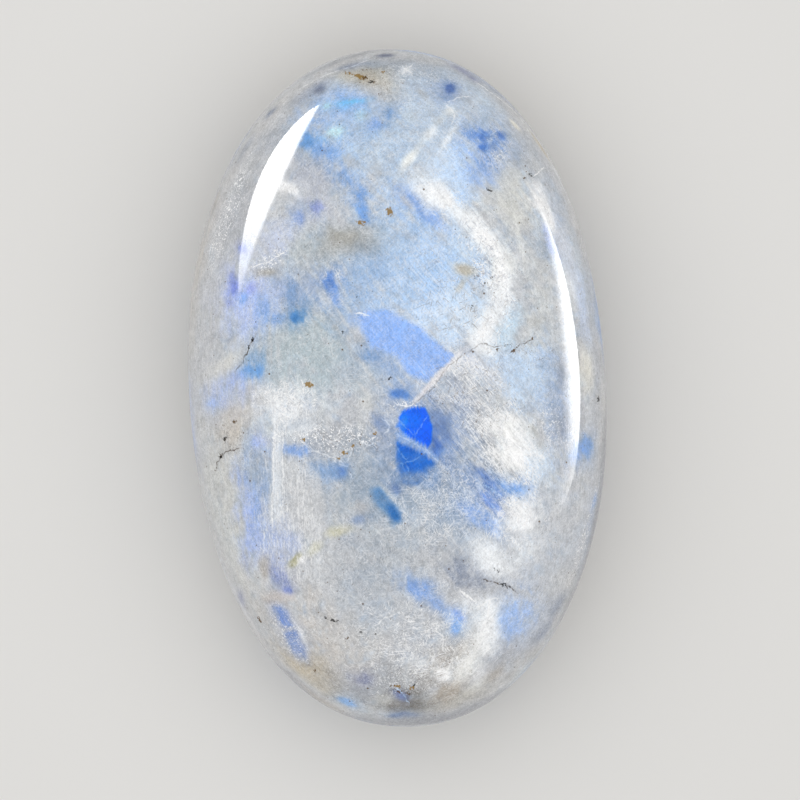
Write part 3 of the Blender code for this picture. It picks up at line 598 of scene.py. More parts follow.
# Thin bright strokes, in the same columns. Some are painted glints and painted highlights, as marked
STROKES = [
    ("sill", [(-8.5, -6), (-6.8, -6.3), (-5, -7.3), (-4.4, -8.4)], 0.45),
    # Painted glints along a short line on the left
    ("spark line", [(-13.8, 11.7), (-12.6, 12.1), (-11.4, 12.7), (-10.8, 13.1)], 0.9),
    ("foot stroke", [(6.1, -19.3), (6.7, -19.9), (7.3, -20.4)], 0.9),
    ("foot stroke", [(6.2, -19.4), (6.7, -20.2)], 0.7),
    ("column edge", [(-11.8, -4.1), (-11.9, -8), (-12, -12.8)], 0.8),
    ("column edge", [(-11, -4.3), (-11, -9), (-11.1, -12.1)], 0.6),
    ("cleavage line", [(-9.5, -8), (-9.5, -12.8), (-9.6, -18.2)], 0.35),
    ("cleavage line", [(-8.9, -9), (-8.9, -15.3)], 0.4),
    ("cleavage line", [(-8.2, -10.9), (-8.3, -18.2)], 0.35),
    ("cleavage line", [(-7.4, -12.8), (-7.5, -18.7)], 0.3),
    ("cleavage line", [(-10.4, -12.8), (-10.5, -18.2)], 0.35),
    ("cleavage line", [(-12.7, -10.9), (-12.8, -15.8)], 0.4),
    # Painted glints: curled bright flecks in the sparkle band
    ("painted glint arc", [(-9.2, -5.1), (-8.6, -5.7), (-7.7, -6.2)], 0.5),
    ("painted glint arc", [(-6.6, -6.5), (-5.8, -7.2), (-5, -7.5)], 0.5),
    ("painted glint arc", [(-5.1, -3.1), (-4.4, -3.6), (-4.7, -4.3)], 0.6),
    ("painted glint arc", [(-3.5, -5.1), (-2.7, -5.5), (-2, -5.1)], 0.6),
    ("painted glint arc", [(-1.2, -3.1), (-0.6, -3.6), (-1.1, -4.3)], 0.5),
    ("painted glint arc", [(-8.5, -4.1), (-7.7, -3.9), (-7.1, -4.2)], 0.3),
    ("painted glint arc", [(-7.1, -4.8), (-6.3, -5.2), (-5.6, -4.8)], 0.4),
    ("painted glint arc", [(-4.4, -5.7), (-4.6, -6.5), (-5.1, -7.2)], 0.4),
    # Rays of the painted highlight near the top
    ("painted highlight ray", [(0.5, 31.3), (1.3, 30.4)], 0.5),
    ("painted highlight ray", [(1.4, 31.6), (0.5, 30.3)], 0.5),
    # Painted highlight lines near the rim, where the shoulder turns steep
    ("painted shoulder highlight", [(7.8, 30.6), (9.1, 29.7), (10.7, 28.8), (11.7, 28.4), (12.7, 27.1), (13.2, 25.9)], 0.7),
    ("left painted shoulder highlight", [(-9.5, 29.6), (-7.9, 30.4), (-6.2, 31), (-4.5, 31.5), (-2.9, 32.5)], 0.5),
    ("foot curl", [(3.6, -23.2), (4.3, -23.9), (4.4, -25)], 0.6),
    ("foot curl", [(5.2, -25), (6, -26.4), (6.8, -27.5)], 0.7),
    ("foot ridge", [(8.8, -20.6), (8.7, -21.8), (8.4, -23.2), (8, -24.5)], 0.8),
    ("fan dash", [(-3.7, 7.1), (-2.9, 7)], 1.1),
    ("heart vein", [(0.1, -3.1), (1.2, -4.1), (2, -5.2)], 0.35),
    ("heart vein", [(2.7, -2.9), (2, -4.1), (1.5, -5.1)], 0.3),
    ("heart edge", [(0, -4.4), (1.4, -5.2), (2.8, -5.9), (3.9, -7.1)], 0.4),
    ("heart mesh", [(0, -5.7), (0.7, -6.8), (1.2, -8.4)], 0.3),
    ("heart mesh", [(2.6, -6.2), (1.6, -6.9), (0.4, -7.2)], 0.3),
    ("chip edge", [(0.2, -1.7), (1, -1.8), (1.8, -1.7), (2.5, -1.7)], 0.9),
    ("sill", [(-2.1, -22.8), (-1.2, -22.1), (0, -21.7), (0.6, -21.6)], 0.5),
    ("foot facet", [(-0.3, -28.8), (0.4, -29.4), (0.9, -30.2)], 0.8),
    ("fibre", [(8.5, -10.6), (9.4, -11.6), (10.1, -12.4)], 0.5),
    ("fibre", [(8.4, -9.3), (9.8, -10.3), (10.6, -11.1)], 0.6),
    ("fibre", [(7.4, -5.5), (8.9, -6.9), (10.3, -8.6)], 0.5),
    ("fibre", [(8.4, -5.1), (9.7, -6.5), (10.9, -7.9)], 0.5),
    # Painted glint near the rim
    ("rim spark", [(14.1, 21.3), (13.4, 20.6)], 0.9),
    ("top twig", [(4.8, 27.6), (5.9, 28.1), (7.1, 28.2)], 0.5),
    ("top twig", [(4.7, 27.2), (5.6, 26.4), (5.2, 25.7)], 0.5),
    ("mesh twig", [(8, 24.7), (9, 24.1), (10, 23.4)], 0.35),
    ("mesh twig", [(9.7, 25), (8.9, 24.2), (8.6, 23.1)], 0.35),
    ("fibre", [(7.1, -6.2), (9, -8.2), (11.1, -10.1)], 0.4),
    ("fibre", [(9.4, -4.1), (11.1, -6), (12.5, -7.8)], 0.4),
    ("ridge fibre", [(6.3, -27.3), (7.4, -25.7), (8.4, -23.9), (9.2, -22.2)], 0.5),
    ("ridge fibre", [(7.1, -27.6), (8.1, -26.3), (8.9, -24.5)], 0.5),
    ("ridge fibre", [(4.8, -28), (6.3, -26.5), (7.6, -24.5), (8.3, -22.8)], 0.45),
    ("ridge fibre", [(7.8, -21), (8.6, -20.4), (9.5, -20.2)], 0.6),
    ("ridge fibre", [(7.6, -24.5), (6.7, -23.6), (5.9, -22.4)], 0.4),
    ("ridge fibre", [(3.6, -28.6), (4.7, -27.5), (5.3, -26.1)], 0.4),
    ("cloud fibre", [(11.4, -5.1), (12.6, -6.2), (13.5, -7.8)], 0.5),
    ("cloud fibre", [(10.5, -2.6), (11.7, -3.8), (12.9, -5.4)], 0.45),
    ("cloud fibre", [(7.8, -1.2), (9.6, -2.9), (11.1, -4.8)], 0.4),
    ("cloud fibre", [(7, -0.4), (8.6, -1.6), (10, -2.7)], 0.4),
]
# Chips and beads: shade, colour, and for each x, y, half length, half width, turn
SPECKS = [
    ("ochre", OCHRE, [
        (-0.8, 16.9, 0.49, 0.25, -55),
        (-3.5, 15.8, 0.44, 0.21, -15),
        (-8.5, 0.3, 0.49, 0.23, -5),
        (-3.7, 30.1, 0.78, 0.25, -25),
        (0, -28.8, 0.29, 0.19, 0),
        (1.4, -28.9, 0.25, 0.23, 0),
        (-8.9, -4.9, 0.23, 0.14, 20),
        (-5.2, -6.2, 0.29, 0.16, -30),
        (-4.3, -5.6, 0.18, 0.1, 30),
        (-2.2, -4.4, 0.19, 0.12, 60),
        (-5.7, -6.7, 0.15, 0.1, 0),
        (-1.3, 27.7, 0.14, 0.1, 0),
        (-4.7, 30.5, 0.39, 0.16, -35),
        (-1.4, 30.5, 0.19, 0.11, 20),
    ]),
    ("brown", BROWN, [
        (-3.1, 29.9, 0.29, 0.19, -10),
        (-13.5, -22.6, 0.34, 0.16, -60),
        (12.2, 20.2, 0.13, 0.1, 0),
        (-15.7, -3.2, 0.23, 0.18, -30),
        (-4.8, -24, 0.17, 0.15, 0),
        (7.6, 10.7, 0.14, 0.1, 0),
        (13, 4.7, 0.12, 0.12, 0),
        (14.3, 7.8, 0.12, 0.1, 0),
        (-0.5, -28.7, 0.14, 0.12, 0),
        (-8, -27.3, 0.15, 0.12, 0),
        (-8, 6.4, 0.12, 0.1, 0),
        (-1.7, 28.3, 0.16, 0.1, 0),
        (0.1, -29.4, 0.29, 0.12, 40),
        (1.2, -29.5, 0.33, 0.12, -20),
        (7.2, 3.5, 0.12, 0.1, 0),
        (9.6, 3.7, 0.16, 0.12, 0),
        (11.2, 3.6, 0.29, 0.12, 45),
        (23.2, 7.5, 0.19, 0.12, 60),
        (-16.3, 29, 0.33, 0.14, 40),
        (-21.6, -12.8, 0.29, 0.14, -70),
        (-2.3, 29.5, 0.29, 0.11, -35),
        (-3.1, 30.9, 0.33, 0.09, 0),
    ]),
    ("black", BLACK, [
        (-2.6, 29.5, 0.16, 0.14, 0),
        (-2.2, 29.6, 0.1, 0.1, 0),
        (8.9, 19, 0.33, 0.12, -28),
        (13, 20.5, 0.23, 0.1, -40),
        (19.7, -1.2, 0.35, 0.19, 80),
        (-6.2, -22.3, 0.29, 0.14, -12),
        (-6.9, -22.1, 0.16, 0.08, -30),
        (-5.6, -22.4, 0.14, 0.07, 0),
        (10.2, -18.9, 0.39, 0.16, -25),
        (10.7, -19.2, 0.19, 0.1, -20),
        (9.6, -17.5, 0.18, 0.14, 0),
        (9.3, -17.4, 0.12, 0.12, 0),
        (-13.9, 4.6, 0.18, 0.12, 60),
        (-14.3, 3.8, 0.15, 0.11, 60),
        (-16.7, -4.9, 0.21, 0.12, 60),
        (-17, -6.6, 0.21, 0.12, 60),
        (-3.6, -23.4, 0.15, 0.15, 0),
        (-2.2, -23.6, 0.12, 0.12, 0),
        (-0.8, 0.9, 0.17, 0.13, 20),
        (-4.3, 2.3, 0.09, 0.09, 0),
        (-5.2, 5.3, 0.1, 0.1, 0),
        (-3.8, 8.7, 0.11, 0.1, 0),
        (9, 10.6, 0.12, 0.1, 0),
        (8.4, 10, 0.11, 0.1, 0),
        (7.1, 7.8, 0.1, 0.09, 0),
        (1.6, -28.6, 0.14, 0.12, 0),
        (7.3, 27, 0.12, 0.1, 0),
        (3.1, 23.9, 0.12, 0.1, 0),
        (23.6, 8.6, 0.29, 0.14, 70),
    ]),
]
# Where each fine texture shows: name, x, y, half length, half width, turn, strength, softness
TEXTURES = {
    "felt": [
        ("white band", 9, 12.3, 5.1, 2.5, -75, 1, 0.6),
        ("white band's foot", 8.6, 6.1, 2.5, 2.5, 0, 1, 0.7),
        ("blob's felt", 11.5, -6.5, 3.5, 1.9, -56, 0.8, 0.6),
        ("low felt", 11, -13.3, 3.3, 2.5, 0, 1, 0.7),
        ("tangle", 7.1, -10.9, 4.9, 2.9, -20, 0.9, 0.8),
        ("snow's felt", -10.5, -1, 3.1, 1.8, 5, 1, 0.6),
        ("grey middle's felt", 2.2, -24.5, 7.8, 4.9, 0, 0.8, 0.9),
        ("upper felt", 5.6, 17.8, 3.9, 2.3, -30, 0.7, 0.8),
        ("all over", 0.2, -0.2, 22.4, 35, 0, 0.25, 0.2),
    ],
    "lace": [
        ("mesh lace", 9, 23.7, 2.3, 2.1, 0, 1, 0.5),
        ("drop lace", -6.1, 10, 1.2, 1.6, 0, 1, 0.5),
        ("felt lace", 9, 11.5, 5.8, 2.3, -75, 0.8, 0.8),
        ("snow lace", -9.5, -1.7, 2.9, 1.9, 0, 0.5, 0.7),
        ("sparkle band lace", -6.6, -4.7, 5.5, 1.4, -3, 0.5, 0.7),
        ("cloud lace", 6.7, -17.5, 1.9, 1.2, -25, 0.9, 0.6),
        ("foot lace", 1.2, -26, 4.9, 2.5, 20, 0.6, 0.8),
        ("all over", 0.2, -0.2, 22.4, 35, 0, 0.25, 0.2),
    ],
    "down": [
        ("slant fibres", 8.4, -4.1, 6.4, 3.7, -50, 1, 0.6),
        ("slant fibres low", 10, -9, 3.9, 3.3, -50, 1, 0.6),
        ("glow hairs", 4.1, 9.5, 5.8, 5.8, 0, 0.3, 0.9),
        ("below the crack", 7.1, 0.8, 2.9, 1.9, -40, 0.8, 0.7),
    ],
    "up": [
        ("column hairs", -11, -10.9, 7.8, 3.3, 90, 1, 0.7),
        ("left rim hairs", -16.8, 13.4, 12.7, 2.5, 72, 0.35, 0.8),
        ("foot hairs", -7.5, -22.6, 5.8, 3.9, 80, 0.5, 0.8),
        ("right rim hairs", 15.8, -10.9, 11.7, 2.3, 75, 0.5, 0.8),
        ("cleavage lines", -9.2, -13.8, 6.8, 2.1, 92, 1, 0.6),
    ],
    "tangle": [
        ("tangle", 4.1, -10.9, 5.8, 3.3, -10, 1, 0.6),
        ("below the heart", 2.2, -8, 2.9, 2.1, -30, 0.9, 0.6),
        ("heart's mesh", 1.2, -8, 2.1, 1.4, 0, 1, 0.6),
        ("blue arm's mesh", -5.6, 21.2, 5.8, 2.3, -55, 0.35, 0.8),
        ("crack's curls", 6.9, 1.9, 1.9, 1.2, -30, 1, 0.6),
        ("slant mesh", 9, -10.9, 3.9, 2.9, -40, 0.8, 0.8),
        ("mesh blue's mesh", 9, 23.7, 2.5, 2.1, 0, 1, 0.5),
        ("drop's mesh", -6.1, 10, 1.4, 1.8, 0, 1, 0.5),
        ("foot mesh", 1.7, -25.5, 5.8, 3.9, 10, 0.6, 0.8),
        ("all over", 0.2, -0.2, 22.4, 35, 0, 0.28, 0.2),
    ],
    "dirt": [
        ("dirt on the glow", 6.3, 8.6, 3.9, 3.9, 0, 0.9, 0.8),
        ("dirt below the crack", 7.1, -1.2, 4.9, 3.9, -45, 0.9, 0.8),
        ("dirt by the left crack", -15.8, -4.6, 1.9, 3.5, 70, 0.8, 0.8),
        ("dirt in the band", -5.6, -5.1, 4.9, 1.6, 0, 0.8, 0.7),
        ("dirt at the top", -2.7, 29.8, 2.9, 1.4, 0, 0.8, 0.7),
        ("dirt at the foot", 5.1, -26, 3.9, 2.5, 40, 0.7, 0.8),
        ("dirt on the right", 11.4, 3.7, 2.9, 1.6, 0, 0.8, 0.8),
        ("all over", 0.2, -0.2, 22.4, 35, 0, 0.25, 0.2),
    ],
    # Where the painted glints show
    "glitter": [
        ("sparkle band", -6.6, -4.7, 5.6, 1.3, -3, 1, 0.5),
        ("spark line", -12.2, 12.4, 1.9, 0.78, 22, 1, 0.5),
        ("snow glitter", -10.3, -1.2, 2.9, 1.6, 0, 0.6, 0.7),
        ("slant glitter", 8, -3.1, 4.9, 2.9, -50, 0.6, 0.7),
        ("curls", 14.8, -3.9, 1.6, 2.1, 0, 0.7, 0.7),
        ("left rim glitter", -16.5, 16.8, 5.8, 0.97, 68, 1, 0.5),
        ("right rim glitter", 18.2, -14.8, 5.8, 0.68, 72, 0.8, 0.6),
        ("slant's flecks", -10.3, -23.8, 2.7, 0.97, -64, 0.9, 0.6),
        ("column's flecks", -11.4, -4.1, 1.2, 0.78, 0, 0.8, 0.7),
        ("blob's flecks", 12.1, -5.1, 2.5, 1.4, -50, 0.7, 0.7),
        ("fan's dashes", -3.5, 7, 0.78, 0.29, 0, 0.8, 0.5),
        ("foot glitter", 0.2, -28.9, 2.9, 0.97, 0, 0.8, 0.7),
        ("foot glitter", 5.1, -25.5, 4.3, 1.8, 45, 0.6, 0.7),
        ("heart glitter", 1, -1.8, 1.8, 0.49, 0, 1, 0.5),
        ("tangle glitter", 6.6, -9.9, 4.9, 2.3, -20, 0.7, 0.8),
        ("top glitter", 1.2, 30, 3.9, 1.4, 0, 0.5, 0.8),
        ("all over", 0.2, -0.2, 22.4, 35, 0, 0.15, 0.2),
    ],
}

# Cloudiness of the whole body: size, seed, colour, strength
CLOUDINESS = [
    (9.0, 11, ICE, 0.40),
    (6.0, 12, WARM_PEARL, 0.5),
    (3.0, 13, GREY, 0.55),
    (2.2, 17, HAZE_BLUE, 0.25),
    (1.8, 14, PEARL, 0.6),
    (1.1, 15, GREY, 0.22),
    (0.8, 16, WHITE, 0.20),
]
# Hairs: mask, turns, length, width, how rare they are from 0 to 1, shade, strength
HAIRS = [
    ("down", (-55, -51, -48, -45), 9.0, 0.13, 0.58, SNOW, 0.75),
    ("down", (-53, -49, 30, 65), 4.0, 0.11, 0.60, SNOW, 0.70),
    ("up", (89, 91, 93), 12.0, 0.14, 0.60, SNOW, 0.50),
    ("tangle", (-70, -35, 5, 44, 78), 2.2, 0.11, 0.58, SNOW, 0.74),
    ("felt", (10, 55, 100, 145), 1.4, 0.12, 0.59, SNOW, 0.90),
    ("lace", (20, 75, 130), 1.4, 0.16, 0.60, SLATE, 0.60),
    ("dirt", (-42, 20, 75), 2.0, 0.13, 0.63, BROWN, 0.60),
]


def smooth(value, low, high):
    """0 below low, 1 above high, and a smooth rise between."""
    part = np.clip((value - low) / (high - low), 0, 1)
    return part * part * (3 - 2 * part)


def clouds(points, size, seed, octaves=2):
    """Smooth random values, mostly -1 to 1, in lumps about size millimetres wide."""
    moved = points / size + np.array([31.7, 17.3, 11.9]) * seed
    return np.array([noise.fractal(place, 0.8, 2.1, octaves) for place in moved.tolist()])


def turned(place, turn):
    """How far places lie along and across a direction in plan."""
    angle = math.radians(turn)
    along = place[:, 0] * math.cos(angle) + place[:, 1] * math.sin(angle)
    across = place[:, 1] * math.cos(angle) - place[:, 0] * math.sin(angle)
    return along, across


def fibred(points, turn):
    """Places squeezed so that noise on them runs in fibres at an angle in plan."""
    along, across = turned(points, turn)
    return np.stack([along / FIBRE_STRETCH, across, points[:, 2]], axis=1)


def line_gap(place, corners):
    """Distance to a line of points, and the same with a sign for the side it is on."""
    best = np.full(len(place), 99.0)
    signed = np.full(len(place), 99.0)
    for start, end in zip(corners, corners[1:]):
        run = end - start
        offset = place - start
        along = np.clip(offset @ run / (run @ run), 0, 1)
        distance = np.linalg.norm(offset - along[:, None] * run, axis=1)
        side = np.where(run[0] * offset[:, 1] - run[1] * offset[:, 0] < 0, -1.0, 1.0)
        closer = distance < best
        best = np.where(closer, distance, best)
        signed = np.where(closer, distance * side, signed)
    return best, signed


def polygon_gap(place, corners):
    """Distance to the edge of a polygon, negative inside it."""
    nearest = line_gap(place, np.vstack([corners, corners[:1]]))[0]
    inside = np.zeros(len(place), bool)
    for start, end in zip(corners, np.roll(corners, -1, axis=0)):
        crosses = (start[1] > place[:, 1]) != (end[1] > place[:, 1])
        slope = (end[0] - start[0]) / (end[1] - start[1] + 1e-9)
        inside ^= crosses & (place[:, 0] < start[0] + (place[:, 1] - start[1]) * slope)
    return np.where(inside, -nearest, nearest)


def seen(colour):
    """A colour of the tables, in display values from 0 to 1."""
    return np.array(colour) / 255


def pigment(display):
    """The surface colour that looks like a display colour under this studio's light."""
    part = np.clip(display, 0, 1)
    light = np.where(part <= 0.04045, part / 12.92, ((part + 0.055) / 1.055) ** 2.4)
    return np.clip(light - STUDIO_HAZE, 0.004, 0.98)


def dye(colour):
    """A colour of the tables as a shader colour."""
    return tuple(pigment(seen(colour))) + (1.0,)


class Stone:
    """The vertices and faces of the stone's skin, built ring by ring from its flat upwards.

    A vertex also has a place in plan, at which its markings are looked up. On the sides it
    lies further out than the vertex itself, as if the side were unrolled flat.
    """

    def __init__(self):
        self.points = []
        self.plans = []
        self.faces = []
        self.ring_start = 0

    def outline(self, turn):
        """Places on the girdle, at angles turned from +X."""
        across = np.abs(np.cos(turn)) / (WIDTH / 2)
        along = np.abs(np.sin(turn)) / (LENGTH / 2)
        radius = (across**OUTLINE_POWER + along**OUTLINE_POWER) ** (-1 / OUTLINE_POWER)
        radius = radius * (1 - OUTLINE_LEAN * np.sin(2 * turn))
        return np.stack([radius * np.cos(turn), radius * np.sin(turn)], axis=1)

    def dome_rings(self, edge_share, height, spacing):
        """Share, rise and unrolled share of a dome's rings, in even steps from the girdle in."""
        lift = np.linspace(0, math.acos(edge_share ** (DOME_POWER / 2)), ARC_STEPS)
        share = np.cos(lift) ** (2 / DOME_POWER)
        rise = height * np.sin(lift) ** (2 / DOME_POWER)
        steps = np.hypot(np.diff(share) * MEAN_RADIUS, np.diff(rise))
        path = np.concatenate([[0], np.cumsum(steps)])
        even = np.linspace(0, path[-1], round(path[-1] / spacing) + 1)
        even_share = np.interp(even, path, share)
        unroll_path = np.interp(-UNROLL_SHARE, -share, path)
        unrolled = UNROLL_SHARE + (unroll_path - even) / MEAN_RADIUS
        spread = np.where(even_share < UNROLL_SHARE, even_share, unrolled)
        return np.stack([even_share, np.interp(even, path, rise), spread], axis=1)

    def add_ring(self, share, height, spread, halvings):
        """One ring of vertices, joined to the ring before it."""
        count = GIRDLE_SEGMENTS >> halvings
        outline = self.outline(2 * math.pi * np.arange(count) / count)
        if self.points:
            lower_count = len(self.points[-1])
            self.join(self.ring_start, lower_count, self.ring_start + lower_count, count)
            self.ring_start += lower_count
        self.points.append(np.column_stack([outline * share, np.full(count, height)]))
        self.plans.append(outline * spread)

    def join(self, lower, lower_count, upper, upper_count):
        """Faces between two rings, one of which may have twice the other's vertices."""
        count = min(lower_count, upper_count)
        fine, coarse = (upper, lower) if upper_count > lower_count else (lower, upper)
        for step in range(count):
            after = (step + 1) % count
            if lower_count == upper_count:
                self.faces.append((lower + step, lower + after, upper + after, upper + step))
                continue
            near, far = coarse + step, coarse + after
            first, middle, last = fine + 2 * step, fine + 2 * step + 1, fine + 2 * after
            triangles = [(first, middle, near), (middle, far, near), (middle, last, far)]
            if upper_count > lower_count:
                triangles = [corners[::-1] for corners in triangles]
            self.faces.extend(triangles)

    def build(self):
        """All rings, from the middle of the resting flat up to the summit."""
        dome_rise = (1 - FLAT_SHARE**DOME_POWER) ** (1 / DOME_POWER)
        back = self.dome_rings(FLAT_SHARE, GIRDLE_HEIGHT / dome_rise, BACK_SPACING)
        front = self.dome_rings(SUMMIT_SHARE, THICKNESS - GIRDLE_HEIGHT, FRONT_SPACING)
        for share in FLAT_SHARES:
            self.add_ring(share, 0, share, MOST_HALVINGS)
        for share, rise, spread in back[:0:-1]:
            halvings = min(MOST_HALVINGS, halvings_at(share) + 1)
            self.add_ring(share, max(0, GIRDLE_HEIGHT - rise), spread, halvings)
        for share, rise, spread in front:
            self.add_ring(share, GIRDLE_HEIGHT + rise, spread, halvings_at(share))
        first_ring = tuple(reversed(range(len(self.points[0]))))
        last_ring = tuple(range(self.ring_start, self.ring_start + len(self.points[-1])))
        self.faces.extend([first_ring, last_ring])
        return np.concatenate(self.points), np.concatenate(self.plans)


def halvings_at(share):
    """How many times a ring's vertices are halved, once each time it is half as far out."""
    return min(MOST_HALVINGS, math.floor(-math.log2(share)))


def polish(points):
    """The skin eased inward in slow waves, its flat left level."""
    heart = np.array([0, 0, GIRDLE_HEIGHT])
    depth = WAVE_DEPTH * (0.5 + 0.5 * np.clip(clouds(points, WAVE_LENGTH, 5, 1), -1, 1))
    outward = (points - heart) / np.array([1, 1, 0.5])
    outward /= np.linalg.norm(outward, axis=1, keepdims=True)
    keep_flat = smooth(points[:, 2], 0, 1)
    return points - outward * (depth * keep_flat)[:, None]


class Canvas:
    """Colours and masks painted on the skin's vertices."""

    def __init__(self, plan, points):
        self.plan = plan
        self.way_out = np.hypot(plan[:, 0] / (WIDTH / 2), plan[:, 1] / (LENGTH / 2))
        steep = smooth(self.way_out, RIM_SHARE, 0.98) * (1 - smooth(self.way_out, 1.0, 1.1))
        calm = 1 - RIM_CALM * steep
        self.bend = sum(
            depth * np.stack([clouds(points, size, seed, octaves) for seed in seeds], axis=1)
            for size, octaves, seeds, depth in BENDS
        )
        # The fibres stand upright at the lower left and slant elsewhere
        slant = clouds(fibred(points, SLANT), FIBRE_WIDTH, 6, 3)
        upright = clouds(fibred(points, UPRIGHT), FIBRE_WIDTH, 7, 3)
        share = smooth(-plan[:, 0] - 0.5 * plan[:, 1], 4, 10)
        streaks = slant * (1 - share) + upright * share
        self.ragged = clouds(points, 2.0, 5, 3) * calm
        self.frayed = (0.55 * self.ragged + 0.75 * streaks) * calm
        self.mottle = (0.7 * clouds(points, 1.2, 8, 3) + 0.8 * streaks) * calm
        self.masks = {kind: np.zeros(len(points)) for kind in TEXTURES}
        self.gaps = {}
        self.tint = np.tile(seen(BASE), (len(points), 1))
        for size, seed, colour, strength in CLOUDINESS:
            strengths = strength * (calm if size < 4 else 1)
            self.cover(smooth(clouds(points, size, seed, 4), -0.05, 0.45) * strengths, colour)

    def ellipse(self, x, y, along, across, turn):
        """Distance from an ellipse's centre as a share of its radius, gently bent."""
        raggedness = min(1.0, min(along, across) / RAGGED_WIDTH)
        u, v = turned(self.plan + self.bend * raggedness - np.array([x, y]), turn)
        return np.hypot(u / along, v / across)

    def dab(self, x, y, along, across, turn, softness):
        """Mask of an ellipse, 1 in its middle and 0 outside it, its edge frayed along the fibres."""
        gap = self.ellipse(x, y, along, across, turn)
        raggedness = 0.25 + 0.35 * min(1.0, min(along, across) / RAGGED_WIDTH)
        return smooth(1 - gap + raggedness * self.frayed, -0.95 * softness, 0.95 * softness)

    def cover(self, mask, colour):
        """Lay a colour over what is there."""
        self.tint += (seen(colour) - self.tint) * np.clip(mask, 0, 1)[:, None]

    def patches(self, rows, solid, mottling, halo=0.0):
        """Ellipses of colour, mottled so that they look as if they lie within the stone."""
        for name, x, y, along, across, turn, colour, strength, softness in rows:
            mottled = strength * np.clip(solid + mottling * min(1, across) * self.mottle, 0, 1)
            if halo > 0:
                reach = min(HALO_REACH, 0.7 * across)
                wide = self.dab(x, y, along + reach, across + reach, turn, 1)
                self.cover(wide * mottled * halo, colour)
            self.cover(self.dab(x, y, along, across, turn, softness) * mottled, colour)

    def shapes(self, rows, mottling):
        """Many-sided patches with crisper edges."""
        for name, corners, colour, strength, softness in rows:
            gap = polygon_gap(self.plan + self.bend * 0.16, np.array(corners))
            mask = 1 - smooth(gap + softness * self.ragged, -softness, softness)
            self.cover(mask * strength * np.clip(1 + mottling * self.mottle, 0, 1), colour)

    def fade_rim(self):
        """The edge, where the stone is thin and its markings fade."""
        fade = smooth(self.way_out, 0.95, 1.03) * (1 - 0.5 * smooth(self.way_out, 1.03, 1.12))
        self.cover(0.75 * fade * np.clip(0.8 + 0.5 * self.mottle, 0, 1), RIM)

    def textures(self):
        """Where each kind of fine texture shows, and how strongly."""
        for kind, rows in TEXTURES.items():
            for name, x, y, along, across, turn, strength, softness in rows:
                mask = self.dab(x, y, along, across, turn, softness) * strength
                self.masks[kind] = np.maximum(self.masks[kind], mask)

    def lines(self, kind, rows, reach, wander):
        """Signed distance to the nearest line of a kind, and how strongly it shows."""
        place = self.plan + self.bend * wander
        nearest = np.full(len(place), 9.0)
        side = np.full(len(place), 9.0)
        strength_here = np.zeros(len(place))
        for name, corners, strength in rows:
            distance, signed = line_gap(place, np.array(corners))
            closer = distance < nearest
            nearest = np.where(closer, distance, nearest)
            side = np.where(closer, signed, side)
            strength_here = np.where(closer, strength, strength_here)
        self.gaps[kind] = np.clip(side, -1, 1)
        self.masks[kind] = strength_here * (1 - smooth(nearest, 0.6 * reach, reach))

    def specks(self):
        """Chips and beads of darker mineral, as a gap that is negative inside them."""
        for shade, colour, rows in SPECKS:
            gap = np.full(len(self.plan), 1.0)
            for x, y, along, across, turn in rows:
                reach = self.ellipse(x, y, along, across, turn)
                gap = np.minimum(gap, (reach - 1) * min(along, across))
            self.gaps[shade] = gap

    def paint(self):
        """All layers, from the broadest fields to the smallest specks."""
        self.patches(FIELDS, solid=1.0, mottling=0.5)
        self.fade_rim()
        self.tint = seen(PIVOT) + (self.tint - seen(PIVOT)) * CONTRAST
        self.patches(PATCHES, solid=0.95, mottling=0.7, halo=HALO)
        self.shapes(SHAPES, mottling=0.12)
        self.patches(GLOWS, solid=1.2, mottling=0.5)
        self.textures()
        self.lines("crack", CRACKS, reach=0.5, wander=0.06)
        self.lines("stroke", STROKES, reach=0.5, wander=0.10)
        self.specks()


def store(mesh, name, values):
    """One number per vertex, for the material to read."""
    layer = mesh.attributes.new(name, "FLOAT", "POINT")
    layer.data.foreach_set("value", values.astype(np.float32))


def add_object(name, data):
    """A new object in the scene."""
    added = bpy.data.objects.new(name, data)
    bpy.context.collection.objects.link(added)
    return added


def make_skin():
    """The stone's skin as an object, with its markings stored on its vertices."""
    stone = Stone()
    points, plans = stone.build()
    front = Canvas(plans, points)
    front.paint()
    # The back has the same kinds of markings turned half round, with clouds of its own
    back = Canvas(-plans, points[:, [1, 2, 0]])
    back.paint()
    height = points[:, 2] + 0.6 * clouds(points, 3, 8)
    weight = smooth(height, GIRDLE_HEIGHT - SIDE_BLEND, GIRDLE_HEIGHT + SIDE_BLEND)

    mesh = bpy.data.meshes.new(PIECE)
    mesh.from_pydata((polish(points) * MM).tolist(), [], stone.faces)
    mesh.shade_smooth()
    tint = front.tint * weight[:, None] + back.tint * (1 - weight[:, None])
    rgba = np.column_stack([pigment(tint), np.ones(len(tint))])
    layer = mesh.attributes.new("tint", "FLOAT_COLOR", "POINT")
    layer.data.foreach_set("color", rgba.ravel().astype(np.float32))
    for kind in front.masks:
        store(mesh, kind, front.masks[kind] * weight + back.masks[kind] * (1 - weight))
    for kind in front.gaps:
        store(mesh, kind + "_gap", np.where(weight > 0.5, front.gaps[kind], back.gaps[kind]))
    return add_object(PIECE, mesh)


